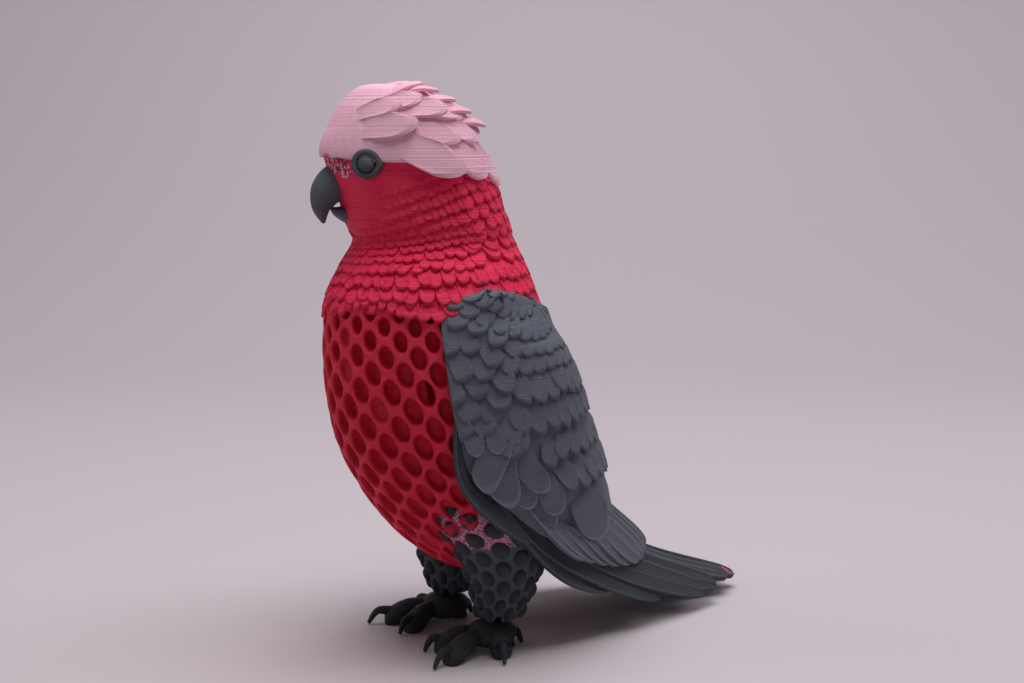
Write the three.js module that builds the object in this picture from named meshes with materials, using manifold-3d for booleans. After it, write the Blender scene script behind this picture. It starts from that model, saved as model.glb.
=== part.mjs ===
// A galah statue printed in coloured plastic: an upright bird on four-toed feet, its head turned a little to
// its right and its crest swept back. Millimetres, +Z up, the breast towards -Y and the bird's left on +X.
// The origin is on the floor, under the middle of the statue's box.
import * as THREE from 'three';
import { mergeVertices } from 'three/addons/utils/BufferGeometryUtils.js';
import Module from 'manifold-3d';

const wasm = await Module();
wasm.setup();

// Driving dimensions
const seam = 0.3; // clear gap between neighbouring sub-parts
const headReach = 15; // from the statue's upright axis forward to the middle of the head
const headTurn = THREE.MathUtils.degToRad(15); // the head's turn towards the bird's right
const neckDrift = 1.8; // how far the top of the neck follows the head aside
const driftStart = 100; // above the wings, so that both wings meet the trunk alike
const collarHeight = 87; // where the neck's feather collar ends and the breast starts
const chinHeight = 110.5; // the cut between head and neck under the chin
const napeRise = 0.21; // how fast that cut rises towards the nape
const chinForward = 28; // how far ahead of the statue's upright axis the chin is
const crestHeight = 129.2; // lower border of the crest over the statue's upright axis
const crestRise = -0.03; // how fast that border climbs towards the nape
const crestDepth = 0.9; // the crest's thickness over the skull
const eyeForward = 11.2;
const eyeSide = 15.4;
const eyeHeight = 130.2;
const eyeTurn = THREE.MathUtils.degToRad(62); // from straight ahead out to the way that the eye looks
const eyeRingRadius = 3.95;
const eyeHoleRadius = 2.45;
const wingThickness = 2.6;
const flankCut = 4; // where the breast's solid ends and the back's starts, under the wings
const blockSize = 400; // blocks for straight cuts reach past the whole statue

// Outline rows of the neck and trunk, from the top down: height, foremost y, rearmost y, half width
const trunkRows = [
  [124, -17, -2, 0],
  [122, -23, 5, 13],
  [116, -24.5, 13, 19],
  [109, -26.2, 15.8, 20],
  [102, -30.8, 18.2, 23.2],
  [94, -34.4, 21, 26.2],
  [85, -35.5, 24, 27.8],
  [75, -35.5, 28.4, 28.7],
  [65, -34.3, 33, 29],
  [55, -31.8, 37, 28.8],
  [45, -26.8, 40, 27.3],
  [36, -20.6, 42, 24.4],
  [28, -13, 41, 20],
  [22, -4.6, 36, 14],
  [18.6, 5, 27, 6],
  [18, 15, 17, 0],
];

// The same for the head, in its own turned frame: height, reach ahead, reach behind (negative), half width
const headRows = [
  [148.6, 3, 1, 0],
  [147.8, 9.4, -5.8, 7],
  [144, 13.8, -11.4, 12.2],
  [139, 16.8, -16.4, 15.8],
  [133, 19.2, -21.4, 17.8],
  [127, 18, -24.4, 18.8],
  [120, 15.4, -27, 19.3],
  [113, 13.4, -27, 19.2],
  [107, 8.6, -23, 16],
  [103, 4, -12, 8],
  [102, -3, -5, 0],
];

// Wing edges as points of a curve, x to the bird's left, y, z: the front and lower one, then the back one
const wingFront = [
  [24.6, -5, 98.6],
  [25.1, -13, 96.4],
  [25.6, -17, 91.5],
  [27.4, -16.9, 82],
  [28.9, -15.4, 68],
  [29.2, -11, 52],
  [29.2, -1, 43],
  [27.8, 10, 34.3],
  [25, 22.5, 28],
  [20.8, 36, 22.4],
  [14.5, 48, 22],
];
const wingBack = [
  [24.6, -5, 98.6],
  [23.2, 6.4, 96.4],
  [14.2, 19.6, 91.4],
  [4, 28, 83],
  [2.4, 35, 70],
  [2.4, 40, 57.5],
  [2.8, 43.2, 46.5],
  [4, 44.6, 38],
  [6.4, 46, 31.4],
  [9.4, 48.6, 26.2],
  [14.5, 48, 22],
];
const wingSwell = [1, 4.6, 10.4, 13.8, 14.4, 13.4, 11.4, 8.4, 5, 2, 0];

// Long feathers of the wing, each along a curve from its root to its tip: the secondaries that end the pale
// wing, and the flight feathers that lie under them
const secondaryFeathers = [
  { curve: [[28.2, 3, 46], [27.2, 16, 34], [24.2, 27, 25.8]], half: 5.4 },
  { curve: [[25.6, 14, 44], [24.4, 26, 31.5], [20.6, 38.6, 21]], half: 5.2 },
  { curve: [[21.6, 25, 42], [20.6, 37, 29.5], [16.8, 49, 19.4]], half: 5 },
  { curve: [[10.5, 33, 43], [12.8, 41.2, 31.6], [12.8, 53.4, 21.2]], half: 4.2 },
];
const flightFeathers = [
  { curve: [[26.8, -7, 53], [26, 10, 33.5], [22.4, 30.6, 20.3], [18, 55.4, 7.5]], half: 5.6 },
  { curve: [[26, -3, 52], [24.4, 17.4, 33], [19.2, 43.2, 17.6], [14.6, 73.8, 4.8]], half: 5.2 },
  { curve: [[24.5, 2, 51], [21.6, 25.6, 31], [16.2, 51, 16.4], [12.8, 79.2, 5.6]], half: 4.8 },
];
const secondaryThickness = 1.5;
const flightThickness = 1.5;

// Tail feathers in pairs from the middle out: how far aside the root and the tip lie, and the tip's y
const tailPairs = [
  { root: 2.4, side: 3, reach: 93.6, half: 5 },
  { root: 5.4, side: 6.8, reach: 88, half: 4.6 },
  { root: 8.4, side: 8.6, reach: 71, half: 4.6 },
];
const tailThickness = 1.5;
const tailRoot = { y: 36, height: 30 };
const tailTipHeight = 3.7;
const tailSlope = 0.36; // how much higher a tip is for each millimetre that it falls short of the longest
const tailLayer = 0.9; // each pair lies this much under the one nearer the middle
const tailSag = 2.8; // how far the middle of a feather hangs below a straight line

// One leg, the bird's left. The thigh's rows from the top down: height, middle x, middle y, two half widths
const thighRows = [
  [45, 14, 3, 0, 0],
  [43, 14.4, 3.8, 7, 9.2],
  [37, 15.2, 4.6, 10, 12.6],
  [29, 15.2, 5.9, 9.9, 11.4],
  [20, 14.8, 6.4, 8.4, 9.3],
  [12.5, 14, 6, 6.2, 6.8],
  [8.5, 13.6, 5.6, 4.4, 4.8],
  [7.6, 13.6, 5.4, 0, 0],
];
const ankle = [13.4, 3.4, 5];
const ankleSize = [5.4, 6, 4];

// Toes of the left foot: where the toe's pad ends and where its claw's tip is
const toes = [
  { name: 'outer_front', pad: [18, -10.4], claw: [20.4, -17.2] },
  { name: 'inner_front', pad: [9.2, -8.8], claw: [7.6, -13.6] },
  { name: 'outer_back', pad: [20.8, 2.6], claw: [26.4, 0.2] },
  { name: 'inner_back', pad: [13.6, 8.4], claw: [14.4, 12.4] },
];
const toeRadius = 3.2;
const padHeight = 2.1; // of the middle of a toe's pad, less than its radius, so that the floor cuts it flat
const clawRadius = 1.25;

// Colours of the printed plastic
const plastic = (colour) => new THREE.MeshStandardMaterial({ color: colour, roughness: 0.6, metalness: 0 });
const lightPink = () => plastic(0xf0b6c6);
const hotPink = () => plastic(0xd8354f);
const red = () => plastic(0xc81f35);
const wingGrey = () => plastic(0x6c7078);
const darkGrey = () => plastic(0x4b5056);

// A smooth value between the rows of a table, with place running from 0 at the first row to 1 at the last
function blend(rows, place) {
  const last = rows.length - 1;
  const exact = THREE.MathUtils.clamp(place, 0, 1) * last;
  const at = Math.min(Math.floor(exact), last - 1);
  const t = exact - at;
  const [a, b, c, d] = [at - 1, at, at + 1, at + 2].map((i) => rows[THREE.MathUtils.clamp(i, 0, last)]);
  const through = (p, q, r, s) =>
    q + 0.5 * t * (r - p + t * (2 * p - 5 * q + 4 * r - s + t * (3 * (q - r) + s - p)));
  return Array.isArray(b) ? b.map((value, i) => through(a[i], value, c[i], d[i])) : through(a, b, c, d);
}

// A closed body: a sphere's grid with each vertex moved to place(around, along), both from 0 to 1
function blob(columns, rows, place) {
  const geometry = new THREE.SphereGeometry(1, columns, rows);
  const uv = geometry.attributes.uv;
  const position = geometry.attributes.position;
  for (let i = 0; i < position.count; i += 1) {
    const along = 1 - uv.getY(i);
    const point = place(uv.getX(i), along);
    position.setXYZ(i, point.x, point.y, point.z);
  }
  return geometry;
}

// Turns a closed geometry into a manifold solid, with its faces outwards
function solid(geometry) {
  const bare = geometry.clone();
  bare.deleteAttribute('normal');
  bare.deleteAttribute('uv');
  const merged = mergeVertices(bare, 1e-4);
  const index = Array.from(merged.index.array);
  const triangles = [];
  for (let i = 0; i < index.length; i += 3) {
    const [a, b, c] = index.slice(i, i + 3);
    if (a !== b && b !== c && c !== a) triangles.push(a, b, c);
  }
  const build = (corners) =>
    new wasm.Manifold(
      new wasm.Mesh({
        numProp: 3,
        vertProperties: new Float32Array(merged.attributes.position.array),
        triVerts: new Uint32Array(corners),
      }),
    );
  const body = build(triangles);
  return body.volume() > 0 ? body : build(triangles.reverse());
}

function toGeometry(body) {
  const mesh = body.getMesh();
  const positions = [];
  for (let i = 0; i < mesh.numVert; i += 1) {
    positions.push(...mesh.vertProperties.slice(i * mesh.numProp, i * mesh.numProp + 3));
  }
  const geometry = new THREE.BufferGeometry();
  geometry.setAttribute('position', new THREE.Float32BufferAttribute(positions, 3));
  geometry.setIndex(Array.from(mesh.triVerts));
  geometry.computeVertexNormals();
  return geometry;
}

const join = (bodies) => bodies.reduce((whole, body) => whole.add(body));
const mirrored = (body) => body.mirror([1, 0, 0]);

// Keeps the largest of the separate pieces that a cut leaves
function largest(body) {
  return body.decompose().reduce((best, piece) => (piece.volume() > best.volume() ? piece : best));
}

// A block whose lower face is the plane through the given height, tilted so that it climbs by rise per mm
// along the way that turn points, and which reaches far past the statue above that plane
function blockAbove(height, rise, turn) {
  const block = new THREE.BoxGeometry(blockSize, blockSize, blockSize);
  block.translate(0, 0, blockSize / 2);
  block.rotateX(Math.atan(rise));
  block.rotateZ(turn);
  block.translate(0, 0, height);
  return solid(block);
}

const above = (height, rise = 0, turn = 0) => blockAbove(height + seam / 2, rise, turn);
const notBelow = (height, rise = 0, turn = 0) => blockAbove(height - seam / 2, rise, turn);

// Neck and trunk, grown outwards by the given amount
function trunkBody(grow) {
  return solid(
    blob(22, 16, (around, along) => {
      const [height, front, back, half] = blend(trunkRows, along);
      const drift = neckDrift * THREE.MathUtils.smoothstep(height, driftStart, chinHeight);
      const angle = around * 2 * Math.PI;
      const swell = half > 0.01 ? grow : 0;
      const x = (half + swell) * Math.sin(angle) - drift;
      const y = (front + back) / 2 - ((half > 0.01 ? (back - front) / 2 : 0) + swell) * Math.cos(angle);
      const lift = grow * (1 - 2 * along) * (half > 0.01 ? 0 : 1);
      return new THREE.Vector3(x, y, height + lift);
    }),
  );
}

// A point given in the head's frame: ahead, towards the bird's left, and height
function headPoint(ahead, side, height) {
  const forward = headReach + ahead;
  const sin = Math.sin(headTurn);
  const cos = Math.cos(headTurn);
  return new THREE.Vector3(-sin * forward + cos * side, -cos * forward - sin * side, height);
}

function headBody(grow) {
  return solid(
    blob(20, 12, (around, along) => {
      const [height, ahead, behind, half] = blend(headRows, along);
      const angle = around * 2 * Math.PI;
      const open = half > 0.01 ? 1 : 0;
      const middle = (ahead + behind) / 2;
      const reach = ((ahead - behind) / 2 + grow) * open;
      const side = (half + grow) * open * Math.sin(angle);
      return headPoint(middle + reach * Math.cos(angle), side, height + grow * (1 - 2 * along));
    }),
  );
}

// How far the two ends of a body move along its length when the body grows, as the rings between stay
const lengthwise = (along, grow) => (along > 0 && along < 1 ? 0 : (4 * along - 2) * grow);

const tipCrowding = 1.6; // above 1, a blade's rings stand closer together towards its tip

// A feather or blade along a curve: half width and half thickness are functions of the way along, and
// out(point) tells which way its upper face looks
function blade(curve, columns, rows, halfWidth, halfThickness, out, grow = 0) {
  return solid(
    blob(columns, rows, (around, step) => {
      const along = 1 - Math.pow(1 - step, tipCrowding);
      const point = curve.getPoint(along);
      const tangent = curve.getTangent(along).normalize();
      point.addScaledVector(tangent, lengthwise(along, grow));
      if (along === 0 || along === 1) return point;
      const up = out(point).clone();
      up.addScaledVector(tangent, -up.dot(tangent)).normalize();
      const aside = new THREE.Vector3().crossVectors(tangent, up);
      const angle = around * 2 * Math.PI;
      point.addScaledVector(aside, (halfWidth(along) + grow) * Math.cos(angle));
      return point.addScaledVector(up, (halfThickness(along) + grow) * Math.sin(angle));
    }),
  );
}

const asVector = (point) => (point.isVector3 ? point : new THREE.Vector3(...point));
const bend = (...points) => new THREE.CatmullRomCurve3(points.map(asVector));

// Width of a feather along its length, as a share of its greatest: narrow at the root, round at the tip
const vane = (along) => Math.pow(Math.sin(Math.PI * Math.pow(along, 1.25)), 0.45) * (0.55 + 0.45 * along);

// The crest: a cap over the skull, and layered feathers swept back from it
const crestCentre = headPoint(-2, 0, 122);
const fromCrestCentre = (point) => point.clone().sub(crestCentre);

// Crest feathers as ahead, side and height of the root and of the tip. Those off the middle come in pairs
const crestFeathers = [
  { root: [7, 0, 145.8], tip: [-7.4, 0, 149], half: 3.2 },
  { root: [5, 4.6, 145], tip: [-8.6, 4.4, 147.6], half: 3.2 },
  { root: [-1, 0, 145.6], tip: [-14.4, 0, 144.2], half: 3.4 },
  { root: [0, 6.6, 143.2], tip: [-15.6, 5.6, 140.8], half: 3.4 },
  { root: [-8, 0, 142.4], tip: [-21, 0, 137.8], half: 3.6 },
  { root: [-5, 8.4, 140.2], tip: [-19.8, 6.8, 135], half: 3.8 },
  { root: [-13, 0, 138.4], tip: [-26, 0, 129.4], half: 4 },
  { root: [-12, 9.4, 136.6], tip: [-26.6, 8.4, 123.8], half: 4.2 },
  { root: [-7, 13.2, 136.2], tip: [-21, 14.4, 125.4], half: 4 },
  { root: [-1, 15.6, 135.4], tip: [-15.2, 18, 126], half: 4 },
];
const crestFeatherThickness = 1.9;

function crestFeather({ root, tip, half }, hand) {
  const [start, end] = [root, tip].map(([ahead, side, height]) => headPoint(ahead, hand * side, height));
  const middle = start.clone().lerp(end, 0.55);
  middle.add(fromCrestCentre(middle).normalize().multiplyScalar(1.6));
  return blade(
    bend(start, middle, end),
    5,
    4,
    (along) => half * vane(along),
    (along) => crestFeatherThickness * (0.6 - 0.25 * along),
    fromCrestCentre,
  );
}

function crestBody() {
  const cap = headBody(crestDepth).intersect(above(crestHeight, crestRise, -headTurn));
  const feathers = crestFeathers.flatMap((feather) =>
    (feather.root[1] === 0 ? [1] : [1, -1]).map((hand) => crestFeather(feather, hand)),
  );
  return join([cap, ...feathers]);
}

// Eyes: a flat ring let into the head, with the eyeball standing in its hole. Each is turned from a profile
// and then stood where the eye is, looking out sideways
function atEye(geometry, hand) {
  const look = new THREE.Vector3(Math.cos(eyeTurn), hand * Math.sin(eyeTurn), 0);
  const origin = headPoint(0, 0, 0);
  const outward = headPoint(look.x, look.y, 0).sub(origin).normalize();
  const turn = new THREE.Quaternion().setFromUnitVectors(new THREE.Vector3(0, 1, 0), outward);
  const place = headPoint(eyeForward, hand * eyeSide, eyeHeight);
  return geometry.clone().applyMatrix4(new THREE.Matrix4().compose(place, turn, new THREE.Vector3(1, 1, 1)));
}

const eyeSegments = 12;
const ringProfile = [
  [eyeHoleRadius, -1.3],
  [eyeRingRadius, -1.3],
  [eyeRingRadius, 0.3],
  [eyeRingRadius - 0.6, 0.75],
  [eyeHoleRadius, 0.45],
  [eyeHoleRadius, -1.3],
];
const ballRadius = eyeHoleRadius - seam;
const ballProfile = [
  [0, -1.3],
  [ballRadius, -1.3],
  [ballRadius, 0.3],
  [ballRadius * 0.8, 0.95],
  [ballRadius * 0.42, 1.3],
  [0, 1.4],
];
const socketProfile = [
  [0, -1.3 - seam],
  [eyeRingRadius + seam, -1.3 - seam],
  [eyeRingRadius + seam, 4],
  [0, 4],
];
const turned = (profile) =>
  new THREE.LatheGeometry(profile.map((point) => new THREE.Vector2(...point)), eyeSegments);

// The beak: an upper mandible hooked down over a short lower one
function mandible(points, halfWidths, halfHeights, columns, rows, grow) {
  const curve = bend(...points.map(([ahead, height]) => headPoint(ahead, 0, height)));
  const beakSide = headPoint(0, 1, 0).sub(headPoint(0, 0, 0));
  return solid(
    blob(columns, rows, (around, along) => {
      const point = curve.getPoint(along);
      const tangent = curve.getTangent(along).normalize();
      point.addScaledVector(tangent, lengthwise(along, grow));
      const up = new THREE.Vector3().crossVectors(tangent, beakSide).normalize();
      const angle = around * 2 * Math.PI;
      const open = along > 0 && along < 1 ? 1 : 0;
      point.addScaledVector(beakSide, open * (blend(halfWidths, along) + grow) * Math.cos(angle));
      point.addScaledVector(up, open * (blend(halfHeights, along) + grow) * Math.sin(angle));
      return point;
    }),
  );
}

const upperMandible = (grow) =>
  mandible(
    [[11, 124.2], [15, 124.6], [18.4, 122], [19.9, 118], [19.4, 113.9]],
    [4.9, 5.2, 4.7, 3, 0.5],
    [5, 5, 3.9, 2.2, 0.3],
    10,
    9,
    grow,
  );
const lowerMandible = (grow) =>
  mandible(
    [[9.5, 114.4], [13.4, 115.4], [16, 116.2], [17.7, 117.2]],
    [4.4, 4.4, 3.8, 1.4],
    [2.6, 2.2, 1.3, 0.3],
    10,
    6,
    grow,
  );

// The wing's outer surface: lines from its front edge to its back edge, swelling outwards between them
const onWingEdge = (edge, along) => new THREE.Vector3(...blend(edge, along));
const wingMiddle = (along) => onWingEdge(wingFront, along).lerp(onWingEdge(wingBack, along), 0.5);

function wingSurface(along, share) {
  const front = onWingEdge(wingFront, along);
  const back = onWingEdge(wingBack, along);
  const ahead = wingMiddle(along + 0.02).sub(wingMiddle(along - 0.02));
  const out = ahead.cross(back.clone().sub(front)).normalize();
  return front.lerp(back, share).addScaledVector(out, blend(wingSwell, along) * 4 * share * (1 - share));
}

// Directions on that surface: along the wing, across it and out from it
function wingFrame(along, share) {
  const [a, s] = [along, share].map((value) => THREE.MathUtils.clamp(value, 0.05, 0.95));
  const ahead = wingSurface(a + 0.03, s).sub(wingSurface(a - 0.03, s)).normalize();
  const across = wingSurface(a, s + 0.03).sub(wingSurface(a, s - 0.03)).normalize();
  return { ahead, across, out: ahead.clone().cross(across).normalize() };
}

// A wing: a plate under that surface, rounded at the rim
function wingBody(grow) {
  return solid(
    blob(12, 11, (around, along) => {
      const angle = around * 2 * Math.PI;
      const end = along === 0 || along === 1;
      const share = end ? 0.5 : (1 - Math.cos(angle)) / 2;
      const { ahead, across, out } = wingFrame(along, share);
      const thin = Math.min(1, 12 * along * (1 - along));
      const side = end ? 0 : Math.sin(angle);
      const lift = (wingThickness * 0.5 * thin + grow) * side - (wingThickness / 2) * side * side;
      return wingSurface(along, share)
        .addScaledVector(ahead, lengthwise(along, grow))
        .addScaledVector(across, end ? 0 : -grow * Math.cos(angle))
        .addScaledVector(out, lift);
    }),
  );
}

// Long feathers side by side, joined into one fan
const wingFeatherOut = new THREE.Vector3(1, 0.15, 0.55);
const fan = (feathers, thickness, grow) =>
  join(
    feathers.map(({ curve, half }) =>
      blade(
        bend(...curve),
        5,
        5,
        (along) => half * vane(along),
        () => thickness / 2,
        () => wingFeatherOut,
        grow,
      ),
    ),
  );

// The tail: a root under the rump and feathers in pairs, roofed from the middle out
function tailBody(grow) {
  const root = blade(
    bend([0, 24, 29], [0, 42, 25], [0, 60, 17]),
    10,
    6,
    (along) => 11 * Math.pow(Math.sin(Math.PI * along), 0.4),
    (along) => 5 * Math.pow(Math.sin(Math.PI * along), 0.5) * (1.1 - 0.7 * along),
    () => new THREE.Vector3(0, 0.4, 1),
    grow,
  );
  const longest = tailPairs[0].reach;
  const feathers = tailPairs.flatMap((pair, layer) => {
    const lower = layer * tailLayer;
    const tipHeight = tailTipHeight + tailSlope * (longest - pair.reach) - lower;
    return [1, -1].map((hand) =>
      blade(
        bend(
          [hand * pair.root, tailRoot.y, tailRoot.height - lower],
          [
            (hand * (pair.root + pair.side)) / 2,
            (tailRoot.y + pair.reach) / 2,
            (tailRoot.height - lower + tipHeight) / 2 - tailSag,
          ],
          [hand * pair.side, pair.reach, tipHeight],
        ),
        5,
        5,
        (along) => pair.half * vane(along),
        () => tailThickness / 2,
        () => new THREE.Vector3(hand * 0.34, 0.3, 1),
        grow,
      ),
    );
  });
  return join([root, ...feathers]);
}

// A leg: the feathered thigh, the ankle and the toes, for the bird's left side
function thighBody(grow) {
  return solid(
    blob(13, 8, (around, along) => {
      const [height, x, y, halfX, halfY] = blend(thighRows, along);
      const angle = around * 2 * Math.PI;
      const open = halfX > 0.01 ? 1 : 0;
      return new THREE.Vector3(
        x + open * (halfX + grow) * Math.sin(angle),
        y - open * (halfY + grow) * Math.cos(angle),
        height + grow * (1 - 2 * along),
      );
    }),
  );
}

function ankleBody(grow) {
  return solid(
    blob(8, 6, (around, along) => {
      const angle = around * 2 * Math.PI;
      const lean = along * Math.PI;
      const ring = Math.sin(lean);
      return new THREE.Vector3(
        ankle[0] + (ankleSize[0] + grow) * ring * Math.sin(angle),
        ankle[1] - (ankleSize[1] + grow) * ring * Math.cos(angle),
        ankle[2] + (ankleSize[2] + grow) * Math.cos(lean),
      );
    }),
  );
}

// A toe arches from the ankle to its pad, which is flat underneath, and its claw hooks down to the floor
function toeBody(toe) {
  const [padX, padY] = toe.pad;
  const [clawX, clawY] = toe.claw;
  const [ankleX, ankleY] = ankle;
  const between = (share, height) =>
    new THREE.Vector3(
      THREE.MathUtils.lerp(ankleX, padX, share),
      THREE.MathUtils.lerp(ankleY, padY, share),
      height,
    );
  const upward = () => new THREE.Vector3(0, 0, 1);
  const thick = (along) => toeRadius * (0.8 + 0.25 * along) * Math.pow(Math.sin(Math.PI * along), 0.35);
  const arch = blob(7, 6, (around, along) => {
    const pad = [between(1, padHeight), between(1.18, padHeight)];
    const curve = bend(between(0.25, 4.6), between(0.65, 4.3), ...pad);
    const point = curve.getPoint(along);
    const tangent = curve.getTangent(along).normalize();
    const up = upward().addScaledVector(tangent, -tangent.z).normalize();
    const aside = new THREE.Vector3().crossVectors(tangent, up);
    const angle = around * 2 * Math.PI;
    const radius = along > 0 && along < 1 ? thick(along) : 0;
    point.addScaledVector(aside, radius * Math.cos(angle));
    return point.addScaledVector(up, radius * Math.sin(angle));
  });
  const knuckle = new THREE.Vector3(padX, padY, 0).lerp(new THREE.Vector3(clawX, clawY, 0), 0.62).setZ(3.9);
  const hook = blade(
    bend(between(1, 3.4), knuckle, [clawX, clawY, 0.5]),
    5,
    4,
    (along) => clawRadius * (1.1 - 0.75 * along),
    (along) => clawRadius * 1.15 * (1.1 - 0.75 * along),
    upward,
  );
  return solid(arch).add(hook).intersect(blockAbove(0, 0, 0));
}

// Build every body and cut the seams between neighbours
const headCut = chinHeight + napeRise * chinForward;

const upper = upperMandible(0);
const lower = lowerMandible(0);
const sockets = [1, -1].map((hand) => solid(atEye(turned(socketProfile), hand)));
const bird = trunkBody(0).add(headBody(0));

const head = bird
  .intersect(above(headCut, napeRise))
  .subtract(notBelow(crestHeight, crestRise, -headTurn))
  .subtract(upperMandible(1.5 * seam))
  .subtract(lowerMandible(seam))
  .subtract(join(sockets));
const headSpace = headBody(seam).subtract(notBelow(crestHeight - seam / 2, crestRise, -headTurn));
const crest = crestBody().subtract(join(sockets)).subtract(upperMandible(seam)).subtract(headSpace);

const thigh = thighBody(0);
const thighs = thighBody(seam).add(mirrored(thighBody(seam)));
const wholeWing = (grow) => wingBody(grow).add(fan(secondaryFeathers, secondaryThickness, grow));
const wing = largest(wholeWing(0).subtract(trunkBody(seam)));
const tail = tailBody(0);
const tailSpace = tailBody(seam);
const flight = fan(flightFeathers, flightThickness, 0)
  .subtract(wholeWing(2 * seam))
  .subtract(trunkBody(seam))
  .subtract(thighBody(seam))
  .subtract(tailSpace);

const body = bird.subtract(notBelow(collarHeight)).subtract(thighs).subtract(tailSpace);
const neck = bird.subtract(notBelow(headCut, napeRise)).intersect(above(collarHeight));
const rearBlock = (offset) => {
  const block = new THREE.BoxGeometry(blockSize, blockSize, blockSize);
  block.translate(0, blockSize / 2 + flankCut + offset, 0);
  return solid(block);
};

const parts = [
  ['crest', largest(crest), lightPink()],
  ['head', largest(head), hotPink()],
  ['beak_upper', upper, darkGrey()],
  ['beak_lower', lower.subtract(upperMandible(seam)), darkGrey()],
  ['neck', largest(neck), hotPink()],
  ['breast', largest(body.subtract(rearBlock(-seam / 2))), red()],
  ['back', largest(body.intersect(rearBlock(seam / 2))), wingGrey()],
  ['tail', tail, darkGrey()],
];

[['left', 1], ['right', -1]].forEach(([side, hand]) => {
  const onSide = (piece) => (hand > 0 ? piece : mirrored(piece));
  parts.push([`eye_ring_${side}`, solid(atEye(turned(ringProfile), hand)), darkGrey()]);
  parts.push([`eye_${side}`, solid(atEye(turned(ballProfile), hand)), darkGrey()]);
  parts.push([`wing_${side}`, onSide(wing), wingGrey()]);
  parts.push([`flight_${side}`, onSide(flight), darkGrey()]);
  parts.push([`thigh_${side}`, onSide(thigh), darkGrey()]);
  parts.push([`ankle_${side}`, onSide(ankleBody(0).subtract(thighBody(seam))), darkGrey()]);
  toes.forEach((toe) => {
    parts.push([`toe_${side}_${toe.name}`, onSide(toeBody(toe).subtract(ankleBody(seam))), darkGrey()]);
  });
});

const statue = new THREE.Group();
const box = new THREE.Box3();
parts.forEach(([name, piece, material]) => {
  const mesh = new THREE.Mesh(toGeometry(piece), material);
  mesh.name = name;
  statue.add(mesh);
  mesh.geometry.computeBoundingBox();
  box.union(mesh.geometry.boundingBox);
});
statue.position.set(-(box.min.x + box.max.x) / 2, -(box.min.y + box.max.y) / 2, -box.min.z);

export default statue;
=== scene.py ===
import math

import bmesh
import bpy
import numpy as np
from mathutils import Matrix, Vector


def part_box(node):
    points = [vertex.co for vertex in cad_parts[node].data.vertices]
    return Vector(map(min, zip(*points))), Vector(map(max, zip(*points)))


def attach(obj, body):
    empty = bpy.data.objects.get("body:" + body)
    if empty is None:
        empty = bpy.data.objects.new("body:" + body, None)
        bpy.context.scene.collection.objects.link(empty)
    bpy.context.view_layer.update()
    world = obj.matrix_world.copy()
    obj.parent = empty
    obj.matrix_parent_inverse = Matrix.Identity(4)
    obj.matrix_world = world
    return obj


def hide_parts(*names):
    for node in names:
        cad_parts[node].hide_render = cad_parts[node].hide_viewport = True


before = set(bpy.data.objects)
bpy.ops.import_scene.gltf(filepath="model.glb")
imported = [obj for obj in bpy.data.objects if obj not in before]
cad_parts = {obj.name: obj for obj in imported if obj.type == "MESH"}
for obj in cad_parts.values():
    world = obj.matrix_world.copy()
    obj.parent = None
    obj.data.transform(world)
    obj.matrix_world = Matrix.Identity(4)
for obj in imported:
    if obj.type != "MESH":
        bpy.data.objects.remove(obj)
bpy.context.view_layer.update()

# Lengths are in millimetres, in the statue's own frame: the floor point between its feet is the origin,
# the breast faces -Y and the bird's left is on +X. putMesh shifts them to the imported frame, in metres
mm = 0.001
statue = {
    # height, foremost y, rearmost y, half width
    "trunk": [
        [124, -17, -2, 0], [122, -23, 5, 13], [116, -24.5, 13, 19], [109, -26.2, 15.8, 20],
        [102, -30.8, 18.2, 23.2], [94, -34.4, 21, 26.2], [85, -35.5, 24, 27.8], [75, -35.5, 28.4, 28.7],
        [65, -34.3, 33, 29], [55, -31.8, 37, 28.8], [45, -26.8, 40, 27.3], [36, -20.6, 42, 24.4],
        [28, -13, 41, 20], [22, -4.6, 36, 14], [18.6, 5, 27, 6], [18, 15, 17, 0],
    ],
    # height, reach ahead of the head's middle, reach behind it, half width
    "head": [
        [148.6, 3, 1, 0], [147.8, 9.4, -5.8, 7], [144, 13.8, -11.4, 12.2], [139, 16.8, -16.4, 15.8],
        [133, 19.2, -21.4, 17.8], [127, 18, -24.4, 18.8], [120, 15.4, -27, 19.3], [113, 13.4, -27, 19.2],
        [107, 8.6, -23, 16], [103, 4, -12, 8], [102, -3, -5, 0],
    ],
    "headReach": 15, "headTurn": math.radians(15), "neckDrift": 1.8, "driftFrom": 100, "driftTo": 110.5,
    "middleFrom": 96, "middleTo": 112,  # heights between which the middle moves to the head's
    "crease": 1.0, "creaseReach": 8,  # how softly head and trunk meet
}
foremost = min(row[1] for row in statue["trunk"])
shift = np.array([0.0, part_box("breast")[0].y / mm - foremost, 0.0])


def smooth(value, low, high):  # 0 below low, 1 above high, and an easy slope between
    part = np.clip((np.asarray(value, float) - low) / (high - low), 0, 1)
    return part * part * (3 - 2 * part)


def tableAt(value, rows):  # from the rows' first column to their second, straight from row to row
    return np.interp(value, *np.transpose(rows))


def circle(count):  # angles once round
    return np.linspace(0, 2 * math.pi, count, endpoint=False)


def eased(count, first=0.05, last=0.05):  # shares from about 0 to about 1, closer together at the ends
    return 0.5 - 0.5 * np.cos(np.linspace(first, math.pi - last, count))


def unit(vectors):
    return vectors / np.maximum(np.linalg.norm(vectors, axis=-1, keepdims=True), 1e-9)


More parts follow.
